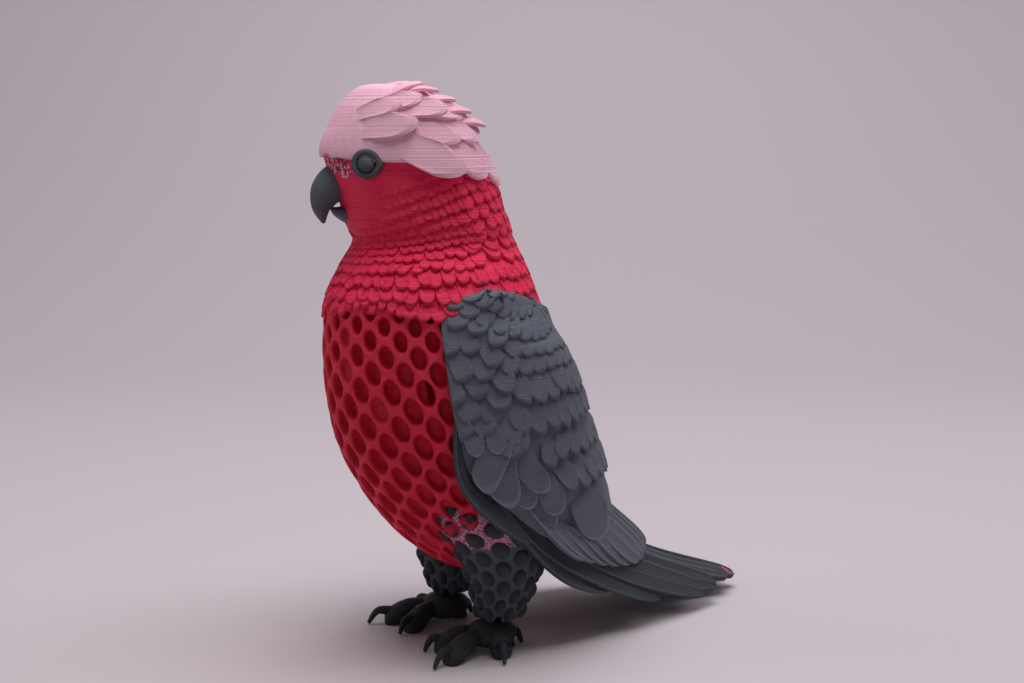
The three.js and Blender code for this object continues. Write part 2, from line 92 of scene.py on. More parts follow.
def throughRows(rows, place):
    # a smooth curve through the rows, with place from 0 at the first to 1 at the last: a cubic between each
    # two, from the four rows round it
    rows = np.asarray(rows, float)
    last = len(rows) - 1
    exact = np.clip(place, 0, 1) * last
    at = np.minimum(exact.astype(int), last - 1)
    t = (exact - at)[..., None] if rows.ndim > 1 else exact - at
    a, b, c, d = (rows[np.clip(at + step, 0, last)] for step in (-1, 0, 1, 2))
    return b + 0.5 * t * (c - a + t * (2 * a - 5 * b + 4 * c - d + t * (3 * (b - c) + d - a)))


def byHeight(rows, steps=1601):  # the same curve, as a function that gives the other columns at any height
    fine = throughRows(rows, np.linspace(0, 1, steps))
    fine = fine[np.argsort(fine[:, 0])]
    return lambda height: [np.interp(height, fine[:, 0], fine[:, k]) for k in range(1, fine.shape[1])]


trunkAt, headAt = byHeight(statue["trunk"]), byHeight(statue["head"])
turnSin, turnCos = math.sin(statue["headTurn"]), math.cos(statue["headTurn"])


def headPoint(ahead, side, height):  # a place in the turned head's own terms
    forward = statue["headReach"] + np.asarray(ahead, float)
    side, height = np.broadcast_arrays(np.asarray(side, float), np.asarray(height, float))
    x, y = -turnSin * forward + turnCos * side, -turnCos * forward - turnSin * side
    return np.stack([x, y, height + 0 * forward], -1)


def ellipseReach(x, y, turn, semiAhead, semiSide, heading):
    # how far it is from (x, y), given from the ellipse's middle, to its rim on the way that turn points: the
    # root of a * reach**2 + 2 * b * reach + c, with both ways measured in the ellipse's half axes
    aheadX, aheadY = -math.sin(heading), -math.cos(heading)
    sideX, sideY = math.cos(heading), -math.sin(heading)
    wayX, wayY = np.sin(turn), -np.cos(turn)
    semiAhead, semiSide = np.maximum(semiAhead, 1e-3), np.maximum(semiSide, 1e-3)
    startA, startS = (x * aheadX + y * aheadY) / semiAhead, (x * sideX + y * sideY) / semiSide
    wayA, wayS = (wayX * aheadX + wayY * aheadY) / semiAhead, (wayX * sideX + wayY * sideY) / semiSide
    a, b, c = wayA**2 + wayS**2, startA * wayA + startS * wayS, startA**2 + startS**2 - 1
    return np.maximum((np.sqrt(np.maximum(b * b - a * c, 0)) - b) / a, 0)


def skinPoint(turn, height):
    # head, neck and trunk as one surface: at each height, the further out of the trunk's and the head's
    # ellipse. turn runs from 0 at the breast over the bird's left side
    look = statue
    turn, height = np.broadcast_arrays(np.asarray(turn, float), np.asarray(height, float))
    front, back, half = trunkAt(height)
    drift = look["neckDrift"] * smooth(height, look["driftFrom"], look["driftTo"])
    ahead, behind, halfHead = headAt(height)
    middle = headPoint((ahead + behind) / 2, 0, 0)
    toHead = smooth(height, look["middleFrom"], look["middleTo"])
    startX = -drift * (1 - toHead) + middle[..., 0] * toHead
    startY = (front + back) / 2 * (1 - toHead) + middle[..., 1] * toHead
    trunk = ellipseReach(startX + drift, startY - (front + back) / 2, turn, (back - front) / 2, half, 0)
    head = ellipseReach(startX - middle[..., 0], startY - middle[..., 1], turn, (ahead - behind) / 2,
                        halfHead, look["headTurn"])
    trunk = np.where(height > look["trunk"][0][0], 0, trunk)
    head = np.where(height < look["head"][-1][0], 0, head)
    crease = look["crease"] * smooth(head, 0, look["creaseReach"])
    reach = (trunk + head + np.sqrt((trunk - head) ** 2 + crease)) / 2
    return np.stack([startX + reach * np.sin(turn), startY - reach * np.cos(turn), height], -1)


def offSurface(pointAt, turn, height, out, turnStep, heightStep=0.4):
    # pointAt's point, moved out along the surface's normal
    around = pointAt(turn + turnStep, height) - pointAt(turn - turnStep, height)
    upward = pointAt(turn, height + heightStep) - pointAt(turn, height - heightStep)
    return pointAt(turn, height) + unit(np.cross(around, upward)) * np.asarray(out)[..., None]


def onSkin(turn, height, out=0.0):
    return offSurface(skinPoint, turn, height, out, 0.02)


def fromFront(turn):  # degrees round from the breast, on either side
    return np.abs((np.degrees(turn) + 180) % 360 - 180)


def curveFrame(path, along, upWay):
    # points of the curve through the path's, with the ways aside and up there, both square to the curve.
    # upWay is about up, and may be a function of the points and of the curve's own way
    step = 0.01
    spine = throughRows(path, along)
    tangent = unit(throughRows(path, along + step) - throughRows(path, along - step))
    upWay = upWay(spine, tangent) if callable(upWay) else np.asarray(upWay, float)
    up = unit(upWay - tangent * (upWay * tangent).sum(-1, keepdims=True))
    return spine[:, None], np.cross(tangent, up)[:, None], up[:, None]


def ovalTube(path, along, halfWidth, halfHeight, upWay=(0, 0, 1), columns=24):
    # rows of points: an ellipse across the curve at each place, with its half axes given there
    spine, aside, up = curveFrame(path, along, upWay)
    angle = circle(columns)
    side = (halfWidth[:, None] * np.cos(angle))[..., None]
    high = (halfHeight[:, None] * np.sin(angle))[..., None]
    return spine + aside * side + up * high


class Pile:  # gathers grids, rings and plates into one mesh
    def __init__(self):
        self.points, self.faces, self.marks, self.maps, self.count = [], [], [], [], 0

    def add(self, points, faces, mark=0.0, places=None):
        points = np.asarray(points, float).reshape(-1, 3)
        places = np.zeros((len(points), 2)) if places is None else np.asarray(places, float).reshape(-1, 2)
        self.faces += [np.asarray(part) + self.count for part in faces]
        self.points.append(points)
        self.marks.append(np.broadcast_to(np.asarray(mark, float).ravel(), len(points)))
        self.maps.append(places)
        self.count += len(points)

    def mirrored(self):  # the same on the bird's right
        other = Pile()
        other.points = [part * [-1, 1, 1] for part in self.points]
        other.faces, other.marks, other.maps, other.count = self.faces, self.marks, self.maps, self.count
        return other


def gridFaces(rows, columns, closed=True):
    # quads of a grid of points, its columns closed round on themselves
    top = np.arange(rows * columns).reshape(rows, columns)
    right = np.roll(top, -1, 1)
    quads = np.stack([top[:-1], right[:-1], right[1:], top[1:]], -1)
    return (quads if closed else quads[:, :-1]).reshape(-1, 4)


def cappedTube(rings):  # rings of points, rows by columns, closed at each end by a point in its middle
    rows, columns = rings.shape[:2]
    points = np.concatenate([rings.reshape(-1, 3), rings[:1].mean(1), rings[-1:].mean(1)])
    first = np.arange(columns)
    second = np.roll(first, -1)
    end = (rows - 1) * columns
    caps = [np.stack([second, first, np.full(columns, rows * columns)], -1),
            np.stack([first + end, second + end, np.full(columns, rows * columns + 1)], -1)]
    return points, [gridFaces(rows, columns), *caps]


def putMesh(name, pile, material, nodes=(), mapped=False):
    points, marks, maps = (np.concatenate(part) for part in (pile.points, pile.marks, pile.maps))
    mesh = bpy.data.meshes.new(name)
    loops = np.concatenate([part.ravel() for part in pile.faces])
    sizes = np.concatenate([np.full(len(part), part.shape[1]) for part in pile.faces])
    mesh.vertices.add(len(points))
    mesh.vertices.foreach_set("co", ((points + shift) * mm).ravel())
    mesh.loops.add(len(loops))
    mesh.loops.foreach_set("vertex_index", loops.astype(np.int32))
    mesh.polygons.add(len(sizes))
    mesh.polygons.foreach_set("loop_start", np.concatenate([[0], np.cumsum(sizes)[:-1]]).astype(np.int32))
    mesh.update(calc_edges=True)
    mesh.attributes.new("mark", "FLOAT", "POINT").data.foreach_set("value", marks.astype(np.float32))
    if mapped:
        mesh.uv_layers.new(name="OFBake").data.foreach_set("uv", maps[loops].ravel())
    shell = bmesh.new()
    shell.from_mesh(mesh)
    bmesh.ops.recalc_face_normals(shell, faces=shell.faces)
    shell.to_mesh(mesh)
    shell.free()
    mesh.polygons.foreach_set("use_smooth", np.ones(len(mesh.polygons), bool))
    mesh.materials.append(material)
    piece = bpy.data.objects.new(name, mesh)
    bpy.context.scene.collection.objects.link(piece)
    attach(piece, "root")
    if nodes:
        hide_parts(*nodes)
    print(name, len(mesh.polygons), "faces")


def putPairs(rows):  # each row is putMesh's values for the bird's left, with {} where a name has the side's
    for hand in ("left", "right"):
        for name, pile, material, slot, nodes, mapped in rows:
            pile = pile if hand == "left" else pile.mirrored()
            putMesh(name.format(hand), pile, material, [node.format(hand) for node in nodes], mapped)


class Wire:  # a material's socket, which adds Math nodes when it is reckoned with
    def __init__(self, board, socket):
        self.board, self.socket = board, socket

    def __add__(self, other):
        return self.board.maths("ADD", self, other)

    def __sub__(self, other):
        return self.board.maths("SUBTRACT", self, other)

    def __rsub__(self, other):
        return self.board.maths("SUBTRACT", other, self)

    def __mul__(self, other):
        return self.board.maths("MULTIPLY", self, other)

    def __truediv__(self, other):
        return self.board.maths("DIVIDE", self, other)

    __radd__, __rmul__ = __add__, __mul__

    def sine(self):
        return self.board.maths("SINE", self)

    def clamped(self):
        return self.board.node("ShaderNodeClamp", {}, {"Value": self})

    def step(self, low, high):  # 0 below low, 1 above high
        return self.board.node("ShaderNodeMapRange", {"interpolation_type": "SMOOTHSTEP"},
                               {"Value": self, "From Min": low, "From Max": high})


class Board:  # a material's node tree
    def __init__(self, name):
        self.material = bpy.data.materials.new(name)
        self.material.use_nodes = True
        self.tree = self.material.node_tree
        self.shader = self.tree.nodes["Principled BSDF"]
        self.place = self.node("ShaderNodeTexCoord", {}, {}, "Object")
        self.height = self.node("ShaderNodeSeparateXYZ", {}, {"Vector": self.place}, "Z")

    def node(self, kind, settings, sockets, output=0):
        made = self.tree.nodes.new(kind)
        for key, value in settings.items():
            setattr(made, key, value)
        for key, value in sockets.items():
            if isinstance(value, Wire):
                self.tree.links.new(value.socket, made.inputs[key])
            else:
                made.inputs[key].default_value = value
        return Wire(self, made.outputs[output])

    def feed(self, name, wire):  # into the shader
        self.tree.links.new(wire.socket, self.shader.inputs[name])

    def maths(self, operation, *terms):
        return self.node("ShaderNodeMath", {"operation": operation}, dict(enumerate(terms)))

    def vectors(self, operation, first, second, output=0):
        return self.node("ShaderNodeVectorMath", {"operation": operation}, {0: first, 1: second}, output)

    def mix(self, share, low, high):  # colours
        return self.node("ShaderNodeMix", {"data_type": "RGBA"}, {0: share, 6: low, 7: high}, 2)

    def grain(self, scale, detail=1.0, along=None):
        sockets = {"Vector": along or self.place, "Scale": scale, "Detail": detail}
        return self.node("ShaderNodeTexNoise", {}, sockets)

    def mark(self):
        return self.node("ShaderNodeAttribute", {"attribute_name": "mark"}, {}, "Fac")


def rgb(red, green, blue):  # a screen colour from 0 to 255, as the shader's linear one
    linear = [((v / 255 + 0.055) / 1.055) ** 2.4 if v > 10 else v / 255 / 12.92 for v in (red, green, blue)]
    return (*linear, 1.0)


# Printed plastic: depths and sizes in mm, scales of the noises per metre
plastic = {
    "layer": 0.25, "layerDepth": 0.04, "wobbleScale": 260, "layerWobble": 2.0,
    "bandSize": 0.45, "bandDepth": 0.12, "bandWobble": 0.35, "grainScale": 1500, "grainDepth": 0.025,
    "streakScale": 380, "streakFlat": 4,
    "shadeScale": 90, "shadeShare": 0.35, "shadeSteps": (0.15, 0.55), "dim": 0.86,
    "roughness": 0.6, "roughSpread": 0.2, "specular": 0.35,
}


def layeredPlastic(name, colour, markColour=None, markSteps=(0.2, 0.8), roughness=plastic["roughness"],
                   rework=None, streaks=0):
    # a fine sine wave and an uneven banding, both level and stacked upwards, over a slight grain. markColour
    # shows where the mesh's mark is high, as a painted highlight or painted shade on rims, webs and walls,
    # and rework(board, tint) changes the colour in places
    look = plastic
    board = Board(name)
    wobble = board.grain(look["wobbleScale"])
    wave = (board.height * (2 * math.pi / (look["layer"] * mm)) + wobble * look["layerWobble"]).sine()
    fine = wave * (look["layerDepth"] * mm)
    level = board.height / (look["bandSize"] * mm) + wobble * look["bandWobble"]
    bands = board.node("ShaderNodeTexNoise", {"noise_dimensions": "1D"},
                       {"W": level, "Scale": 1.0, "Detail": 1.0})
    grain = board.grain(look["grainScale"]) * (look["grainDepth"] * mm)
    relief = fine + bands * (2 * look["bandDepth"] * mm) + grain
    if streaks:  # short level ones
        flat = board.vectors("MULTIPLY", board.place, (1, 1, look["streakFlat"]))
        relief = relief + board.grain(look["streakScale"], along=flat) * (2 * streaks * mm)
    blotches = board.grain(look["shadeScale"], 2.0)
    shade = (bands * look["shadeShare"] + blotches * look["shadeShare"]).step(*look["shadeSteps"])
    base = rgb(*colour)
    tint = board.mix(shade, (*(v * look["dim"] for v in base[:3]), 1.0), base)
    if markColour:
        # the mark colour: painted highlight on rims and webs, or painted shade on walls, by material
        tint = board.mix(board.mark().step(*markSteps), tint, rgb(*markColour))
    if rework:
        tint = rework(board, tint)
    bump = board.node("ShaderNodeBump", {}, {"Strength": 1.0, "Distance": 1.0, "Height": relief})
    board.feed("Base Color", tint)
    board.feed("Roughness", bands * look["roughSpread"] + roughness - look["roughSpread"] / 2)
    board.feed("Normal", bump)
    board.shader.inputs["Specular IOR Level"].default_value = look["specular"]
    return board.material


def near(board, centres, reach, fade):  # 1 within reach of any of the centres, 0 beyond
    share = 0
    for centre in centres:
        centre = tuple((np.array(centre) + shift) * mm)
        away = board.vectors("DISTANCE", board.place, centre, 1)
        share = away.step((reach + fade) * mm, reach * mm) + share
    return share.clamped()


def onHead(place):  # on both sides of the turned head
    ahead, side, height = place
    return [headPoint(ahead, hand * side, height) for hand in (1, -1)]


def onBody(place):  # on both sides of the body
    x, y, z = place
    return [(x, y, z), (-x, y, z)]


# Where the colours run into one another over the beak and round the nostrils, and the nostrils themselves
# painted near black, a painted shade for their holes. Places are ahead, side and height on the head
cere = {
    "places": [(18.4, 5.0, 129.2), (16.0, 9.4, 128.2)], "reach": 2.3, "fade": 1.1, "patch": 0.8,
    "edgeScale": 1400, "edgeSteps": (0.7, 0.8), "redSteps": (0.38, 0.41), "pinkSteps": (0.53, 0.56),
    "pink": (236, 160, 186), "red": (190, 26, 52), "grey": (66, 68, 76),
    # each nostril is a spot painted near black, painted shade standing in for the hole
    "nostril": (17.3, 7.4, 127.5), "hole": 0.8, "holeFade": 0.3, "holeShadeColour": (30, 26, 30),
}


def cereMottle(board, tint):
    look = cere
    patches = board.grain(1 / (look["patch"] * mm), 1.5)
    first, second = (near(board, onHead(place), look["reach"], look["fade"]) for place in look["places"])
    edge = ((first + second).clamped() + board.grain(look["edgeScale"]) * 0.5).step(*look["edgeSteps"])
    mottled = board.mix(patches.step(*look["redSteps"]), rgb(*look["grey"]), rgb(*look["red"]))
    mottled = board.mix(patches.step(*look["pinkSteps"]), mottled, rgb(*look["pink"]))
    tint = board.mix(edge, tint, mottled)
    # the nostrils are painted near black, a painted shade in place of a hole
    nostrilShadeMask = near(board, onHead(look["nostril"]), look["hole"], look["holeFade"])
    return board.mix(nostrilShadeMask, tint, rgb(*look["holeShadeColour"]))


# The pink that shows between the uppermost buttons of the thighs, and red buttons among them
thighTop = {
    "low": 30.6, "high": 31.8, "uneven": 5, "unevenScale": 260, "webSteps": (0.45, 0.9),
    "patch": 0.4, "patchSteps": (0.42, 0.5), "pink": (226, 142, 172), "grey": (62, 60, 68),
    "buttons": [(23.2, -8.7, 39.2), (19.6, -11.7, 36.1)], "reach": 2.6, "fade": 0.3, "red": (196, 24, 52),
    "blotScale": 700, "blotSteps": (0.5, 0.54),
}


def thighMottle(board, tint):
    look = thighTop
    patches = board.grain(1 / (look["patch"] * mm), 1.5)
    level = board.height + (board.grain(look["unevenScale"]) - 0.5) * (look["uneven"] * mm)
    web = board.mark().step(*look["webSteps"]) * level.step(look["low"] * mm, look["high"] * mm)
    mottled = board.mix(patches.step(*look["patchSteps"]), rgb(*look["grey"]), rgb(*look["pink"]))
    tint = board.mix(web, tint, mottled)
    blots = board.grain(look["blotScale"]).step(*look["blotSteps"])
    for button in look["buttons"]:
        share = near(board, onBody(button), look["reach"], look["fade"]) * (1 - blots)
        tint = board.mix(share, tint, rgb(*look["red"]))
    return tint


# A tinge of pink on the uppermost tail feathers' tips
tailTinge = {
    "place": (3.0, 91.5, 5.5), "reach": 1.2, "fade": 2.6, "pink": (196, 84, 118),
    "blotScale": 600, "blotSteps": (0.5, 0.58),
}


def tailMottle(board, tint):
    look = tailTinge
    tips = near(board, onBody(look["place"]), look["reach"], look["fade"])
    blots = board.grain(look["blotScale"]).step(*look["blotSteps"])
    return board.mix(tips * blots, tint, rgb(*look["pink"]))


# where the mark turns into the painted highlight on the grey feathers and the thighs
highlightMarkSteps = (0.3, 1.0)
# the crest's mark colour is painted shade: deeper pink on the lying lobes' walls under their edges, and along
# the free lobes' rims and middle line
crestPlastic = layeredPlastic("crest plastic", (250, 192, 214), (222, 96, 128), (0.5, 1.0), rework=cereMottle)
pinkPlastic = layeredPlastic("hot pink plastic", (244, 36, 86), rework=cereMottle, streaks=0.22)
# the red's mark colour is a painted highlight: the breast's web and hole rims lighter, as edges that catch
# the light
redPlastic = layeredPlastic("red plastic", (204, 14, 46), (218, 26, 62), (0.2, 1.0))
# the wing grey's mark colour is a painted highlight: one side of the tongues' rims, and the secondaries'
# raised rims and shafts
wingPlastic = layeredPlastic("wing grey plastic", (99, 104, 117), (118, 123, 135), highlightMarkSteps)
# the dark grey's mark colour is a painted highlight on the flight and tail feathers' raised rims and shafts
darkPlastic = layeredPlastic("dark grey plastic", (59, 64, 71), (74, 79, 87), highlightMarkSteps, rework=tailMottle)
# the thighs' mark colour is a painted highlight: the web and hole rims lighter than the domes; at the top
# thighMottle paints the web pink instead
thighPlastic = layeredPlastic("thigh plastic", (52, 57, 65), (78, 84, 95), highlightMarkSteps, rework=thighMottle)
footPlastic = layeredPlastic("foot plastic", (40, 43, 49))
beakPlastic = layeredPlastic("beak plastic", (86, 92, 102))
eyePlastic = layeredPlastic("eye plastic", (76, 80, 88), roughness=0.45)
print("plastics made")


# Openwork: cells on a lattice of staggered holes, each a stretched hexagon round an elliptical hole. Places
# on the lattice are counted in pitches across and in rises up
def hexagon(side, upright):  # upright has a point at the top, and else the points are at the sides
    corners = np.array([[0, 0.5 - side], [0.5, side], [0.5, -side],
                        [0, side - 0.5], [-0.5, -side], [-0.5, side]])
    counts = [5, 2, 5, 5, 2, 5] if upright else [4] * 6  # points along each side
    sides = [start + np.linspace(0, 1, count, endpoint=False)[:, None] * (end - start)
             for count, start, end in zip(counts, corners, np.roll(corners, -1, 0))]
    edge = np.concatenate(sides)
    return edge if upright else edge[:, ::-1]


def cellShell(pile, place, look, cells, caps):
    # each ring of a cell is its edge (share 2), its hole's ellipse (1), the ellipse made smaller, or a blend
    # of edge and ellipse, at the height that the profile gives, and the last one closes to a point. cells
    # holds each one's column, row, depth, gap and size
    edge = hexagon(look["side"], look["upright"])
    hole = np.array([look["holeWidth"] / look["pitch"] / 2, look["holeHeight"] / look["rise"] / 2])
    angle = np.arctan2(edge[:, 1] / hole[1], edge[:, 0] / hole[0])
    rounded = np.stack([np.cos(angle), np.sin(angle)], -1) * hole
    column, row, depth, gap, size = (part[:, None, None] for part in cells.T)
    # a small hole is narrower above all, and loses a quarter as much of its height
    rounded = np.stack([rounded[:, 0] * size, rounded[:, 1] * (3 + size) / 4], -1)
    shares, heights, marks = np.array([[2, look["web"], 1], *look["profile"]]).T[..., None]
    holeShare, edgeShare = np.minimum(shares, 1)[..., None], np.maximum(shares - 1, 0)[..., None]
    rings = rounded * holeShare + (edge - rounded) * edgeShare
    across, up = column + rings[..., 0], row + rings[..., 1]
    lift = heights * np.where(heights < 0, depth, 1) + 0 * across
    if "gap" in look:
        inner = np.arange(len(shares))[:, None] >= len(shares) - look["gap"]["rings"]
        deep = (gap > 0) & inner & (np.cos(angle) > look["gap"]["from"])
        lift = np.where(deep, look["gap"]["depth"], lift)
    points = place(across, up, lift)
    middle = place(cells[:, 0], cells[:, 1], look["middle"] * cells[:, 2])

    # neighbours share the points of their common edge
    finest = 1000
    around = np.round(across[:, 0] % look["around"] * finest) % (finest * look["around"])
    key = np.stack([around, np.round(up[:, 0] * finest)], -1).reshape(-1, 2)
    first, shared = np.unique(key, axis=0, return_index=True, return_inverse=True)[1:]
    edgePoints = points[:, 0].reshape(-1, 3)[first]
    many, levels, corners = lift.shape
    within = len(edgePoints) + np.arange(many * (levels - 1) * corners).reshape(many, levels - 1, corners)
    index = np.concatenate([shared.reshape(many, 1, corners), within], 1)
    after = np.roll(index, -1, 2)
    quads = np.stack([index[:, :-1], index[:, 1:], after[:, 1:], after[:, :-1]], -1).reshape(-1, 4)
    tip = np.broadcast_to((len(edgePoints) + within.size + np.arange(many))[:, None], (many, corners))
    fans = np.stack([index[:, -1], tip, after[:, -1]], -1).reshape(-1, 3)
    allPoints = np.concatenate([edgePoints, points[:, 1:].reshape(-1, 3), middle, caps])

    # the shell's open ends are closed by points inside the statue
    sides = np.stack([index[:, 0], after[:, 0]], -1).reshape(-1, 2)
    numbers = [len(allPoints), 1]
    ends = sides[~np.isin(sides @ numbers, sides[:, ::-1] @ numbers)]
    upper = edgePoints[ends[:, 0], 2] > caps[:, 2].mean()
    lids = np.stack([ends[:, 1], ends[:, 0], np.where(upper, len(allPoints) - 2, len(allPoints) - 1)], -1)
    innerMarks = np.broadcast_to(marks, lift.shape)[:, 1:].ravel()
    allMarks = np.concatenate([np.ones(len(edgePoints)), innerMarks, np.zeros(many + len(caps))])
    pile.add(allPoints, [quads, fans, lids], allMarks)


def meridian(pointAt, turn, low, high, steps=400):  # heights, and the way up the surface to each, at one turn
    heights = np.linspace(low, high, steps)
    ways = np.linalg.norm(np.diff(pointAt(np.full(steps, turn), heights), axis=0), axis=-1)
    return heights, np.concatenate([[0], np.cumsum(ways)])


breast = {
    "around": 22, "pitch": 8.2, "rise": 9.6, "closer": 0.65, "topRow": 6, "side": 0.04, "upright": True,
    "holeWidth": 4.35, "holeHeight": 7.4, "firstTurn": math.radians(4.8), "levelHole": 73.2, "low": 20.5,
    "high": 96, "measuredAt": math.radians(40),  # the turn where the way up is measured
    # each ring's share, its height, and how much of the painted highlight it takes
    "profile": [[1.5, 0.14, 1], [1.2, 0.06, 0.9], [1.0, -0.2, 0.7], [0.96, -0.6, 0.4], [0.92, -1.3, 0],
                [0.86, -2.3, 0], [0.6, -2.2, 0], [0.3, -2.0, 0]],
    "middle": -1.95, "web": 0.2,
    # the deep hole: its degrees from the front, and how many rings of it, from which side on, go down how far
    "gap": {"turn": 54, "within": 5, "rings": 3, "from": 0.25, "depth": -7.0},
    # by height: the share of all relief, the holes' depth and their size
    "relief": [[20, 0.4], [30, 1]], "depths": [[20, 0.3], [34, 0.7], [50, 1]], "sizes": [[76, 1], [90, 0.78]],
    "deeperFrom": 84, "deeper": 1.15, "shallowShare": 0.1, "shallow": 0.45, "sizeSpread": (0.94, 1.04),
    "plainFrom": 125,  # degrees from the front, under the wings
    "caps": [[0, -6, 93], [0, 15, 19.5]],
}


def makeBreast():
    # rows of holes, each at equal steps round the skin, and every other row moved by half a step
    look = breast
    heights, ways = meridian(skinPoint, look["measuredAt"], look["low"], look["high"])
    level = np.interp(look["levelHole"], heights, ways)
    rows = np.arange(math.ceil(-level / look["rise"] * 2), look["topRow"] + 1)
    row, column = np.meshgrid(rows, np.arange(look["around"]), indexing="ij")
    across, up = column + 0.5 * (row % 2), row / 2

    def turnAt(across):
        return look["firstTurn"] + across * 2 * math.pi / look["around"]

    def heightAt(up):  # the rows stand closer above the level hole
        return np.interp(level + up * look["rise"] - look["closer"] * np.maximum(up, 0) ** 2, ways, heights)

    def place(across, up, lift):
        return onSkin(turnAt(across), heightAt(up), lift * tableAt(heightAt(up), look["relief"]))

    chance = np.random.default_rng(7)
    height, side = heightAt(up), fromFront(turnAt(across))
    depth = np.where(chance.random(across.shape) < look["shallowShare"], look["shallow"], 1.0)
    depth = depth * np.where(height > look["deeperFrom"], look["deeper"], 1.0)
    depth = depth * tableAt(height, look["depths"])
    depth = np.where(side > look["plainFrom"], 0.0, depth)
    gaps = np.abs(side - look["gap"]["turn"]) < look["gap"]["within"]
    gaps = gaps & (np.abs(height - look["levelHole"]) < 1)
    size = tableAt(height, look["sizes"]) * chance.uniform(*look["sizeSpread"], across.shape)
    pile = Pile()
    cells = np.stack([across, up, depth, gaps, size], -1).reshape(-1, 5)
    cellShell(pile, place, look, cells, np.array(look["caps"]))
    putMesh("breast_openwork", pile, redPlastic, ["breast"])


# Feathers that lie on a surface. Along runs from 0 at the root to 1 at the tip, across from -1 to 1, and the
# tip is half an ellipse
fewAcross, fewAlong = np.array([-1, -0.86, -0.5, 0, 0.5, 0.86, 1.0]), np.array([0, 0.45, 0.86, 1.0])
manyAcross = np.array([-1, -0.96, -0.85, -0.66, -0.44, -0.22, 0, 0.22, 0.44, 0.66, 0.85, 0.96, 1.0])
manyAlong = np.concatenate([np.linspace(0, 0.9, 14), [0.96, 0.99, 1.0]])
plainFeather = {
    # by default no rim takes a painted highlight and no wall a painted shade
    "blunt": 1.0, "roundLimit": 0.7, "rimFrom": 0.95, "sideRim": 0, "lean": 0, "deep": 0, "rimHighlight": 0,
    "wallShade": 0.0, "mapSize": 0.0015,
}


def feathersOn(pile, place, tips, width, length, lift, spin, look, across=fewAcross, along=fewAlong):
    # the height is (lift + sink) * along**swell - sink, with a ridge of 1 - across**2 and the rim let down by
    # the bevel. tips holds each feather's tip on the surface, place(s, t, out) gives the surface's points,
    # and spin turns a feather from straight down the surface towards s. All else is one value each
    look = {**plainFeather, **look}
    tips = np.asarray(tips, float)
    width, length, lift, spin = (np.broadcast_to(np.asarray(v, float), (len(tips),))[:, None, None]
                                 for v in (width, length, lift, spin))
    s, t = tips[:, 0], tips[:, 1]
    stepS, stepT = look["steps"]
    byS = (place(s + stepS, t, 0 * s) - place(s - stepS, t, 0 * s)) / stepS / 2
    byT = (place(s, t - stepT, 0 * s) - place(s, t + stepT, 0 * s)) / stepT / 2
    perS, perT = (np.linalg.norm(by, axis=-1)[:, None, None] for by in (byS, byT))
    slant = (unit(byS) * unit(byT)).sum(-1)[:, None, None]  # how far the two directions are from square
    square = np.sqrt(1 - slant**2)

    u, v = across[None, None], along[None, :, None]
    tip = np.minimum(look["round"] * width / length, look["roundLimit"])
    way = length * (v * (1 - tip + tip * np.sqrt(np.maximum(1 - u * u, 0)) ** look["blunt"]) - 1)
    beside = width / 2 * u * (look["rootWidth"] + (1 - look["rootWidth"]) * np.sin(v * math.pi / 2))
    edge = np.maximum((np.abs(u) > look["rimFrom"]) * look["sideRim"], v > look["rimFrom"])
    sink = look["sink"]
    ridge, bevel = look["ridge"] * (1 - u * u) * v, look["bevel"] * edge * (v > 0.1)
    high = (lift + sink) * v ** look["swell"] - sink + ridge - bevel + look["lean"] * u * np.sign(spin) * v
    down, beyond = way * np.cos(spin) - beside * np.sin(spin), way * np.sin(spin) + beside * np.cos(spin)
    placeS = s[:, None, None] + (beyond - down * slant / square) / perS
    placeT = t[:, None, None] - down / square / perT

    # the upper face, and a lower one at its rim's own places, joined by walls
    size = len(across) * len(along)
    high = high + 0 * placeS
    top = place(placeS, placeT, high).reshape(len(s), size, 3)
    index = np.arange(size).reshape(len(along), len(across))
    rim = np.concatenate([index[0, :-1], index[:-1, -1], index[-1, :0:-1], index[:0:-1, 0]])
    ringS, ringT, ringHigh = (part.reshape(len(s), size)[:, rim] for part in (placeS, placeT, high))
    under = place(ringS, ringT, np.minimum(-sink, ringHigh - look["deep"] - sink * 0.2))
    points = np.concatenate([top, under], 1)
    base = (np.arange(len(s)) * points.shape[1])[:, None, None]
    quads = gridFaces(len(along), len(across), closed=False)[None] + base
    after = np.roll(np.arange(len(rim)), -1)
    walls = np.stack([rim, rim[after], size + after, size + np.arange(len(rim))], -1)[None] + base
    bottom = (size + np.arange(len(rim)))[None] + base[:, 0]
    # the rim of the top takes a painted highlight where the look asks for one, as light catching the edge
    topHighlight = (edge * v * (u > -0.9)).ravel() * look["rimHighlight"]  # one side's rim is left plain
    # the walls under the rim take a painted shade where the look asks for one
    mark = np.concatenate([topHighlight, np.full(len(rim), look["wallShade"])])
    where = np.stack([s * look["mapS"], t * look["mapT"]], -1)
    patch = np.stack([0 * v + u, 2 * v + 0 * u - 1], -1).reshape(-1, 2) * look["mapSize"]
    maps = where[:, None] % 1 + np.concatenate([patch, patch[rim] * 1.1])[None]
    pile.add(points, [quads.reshape(-1, 4), walls.reshape(-1, 4), bottom], np.tile(mark, len(s)), maps)


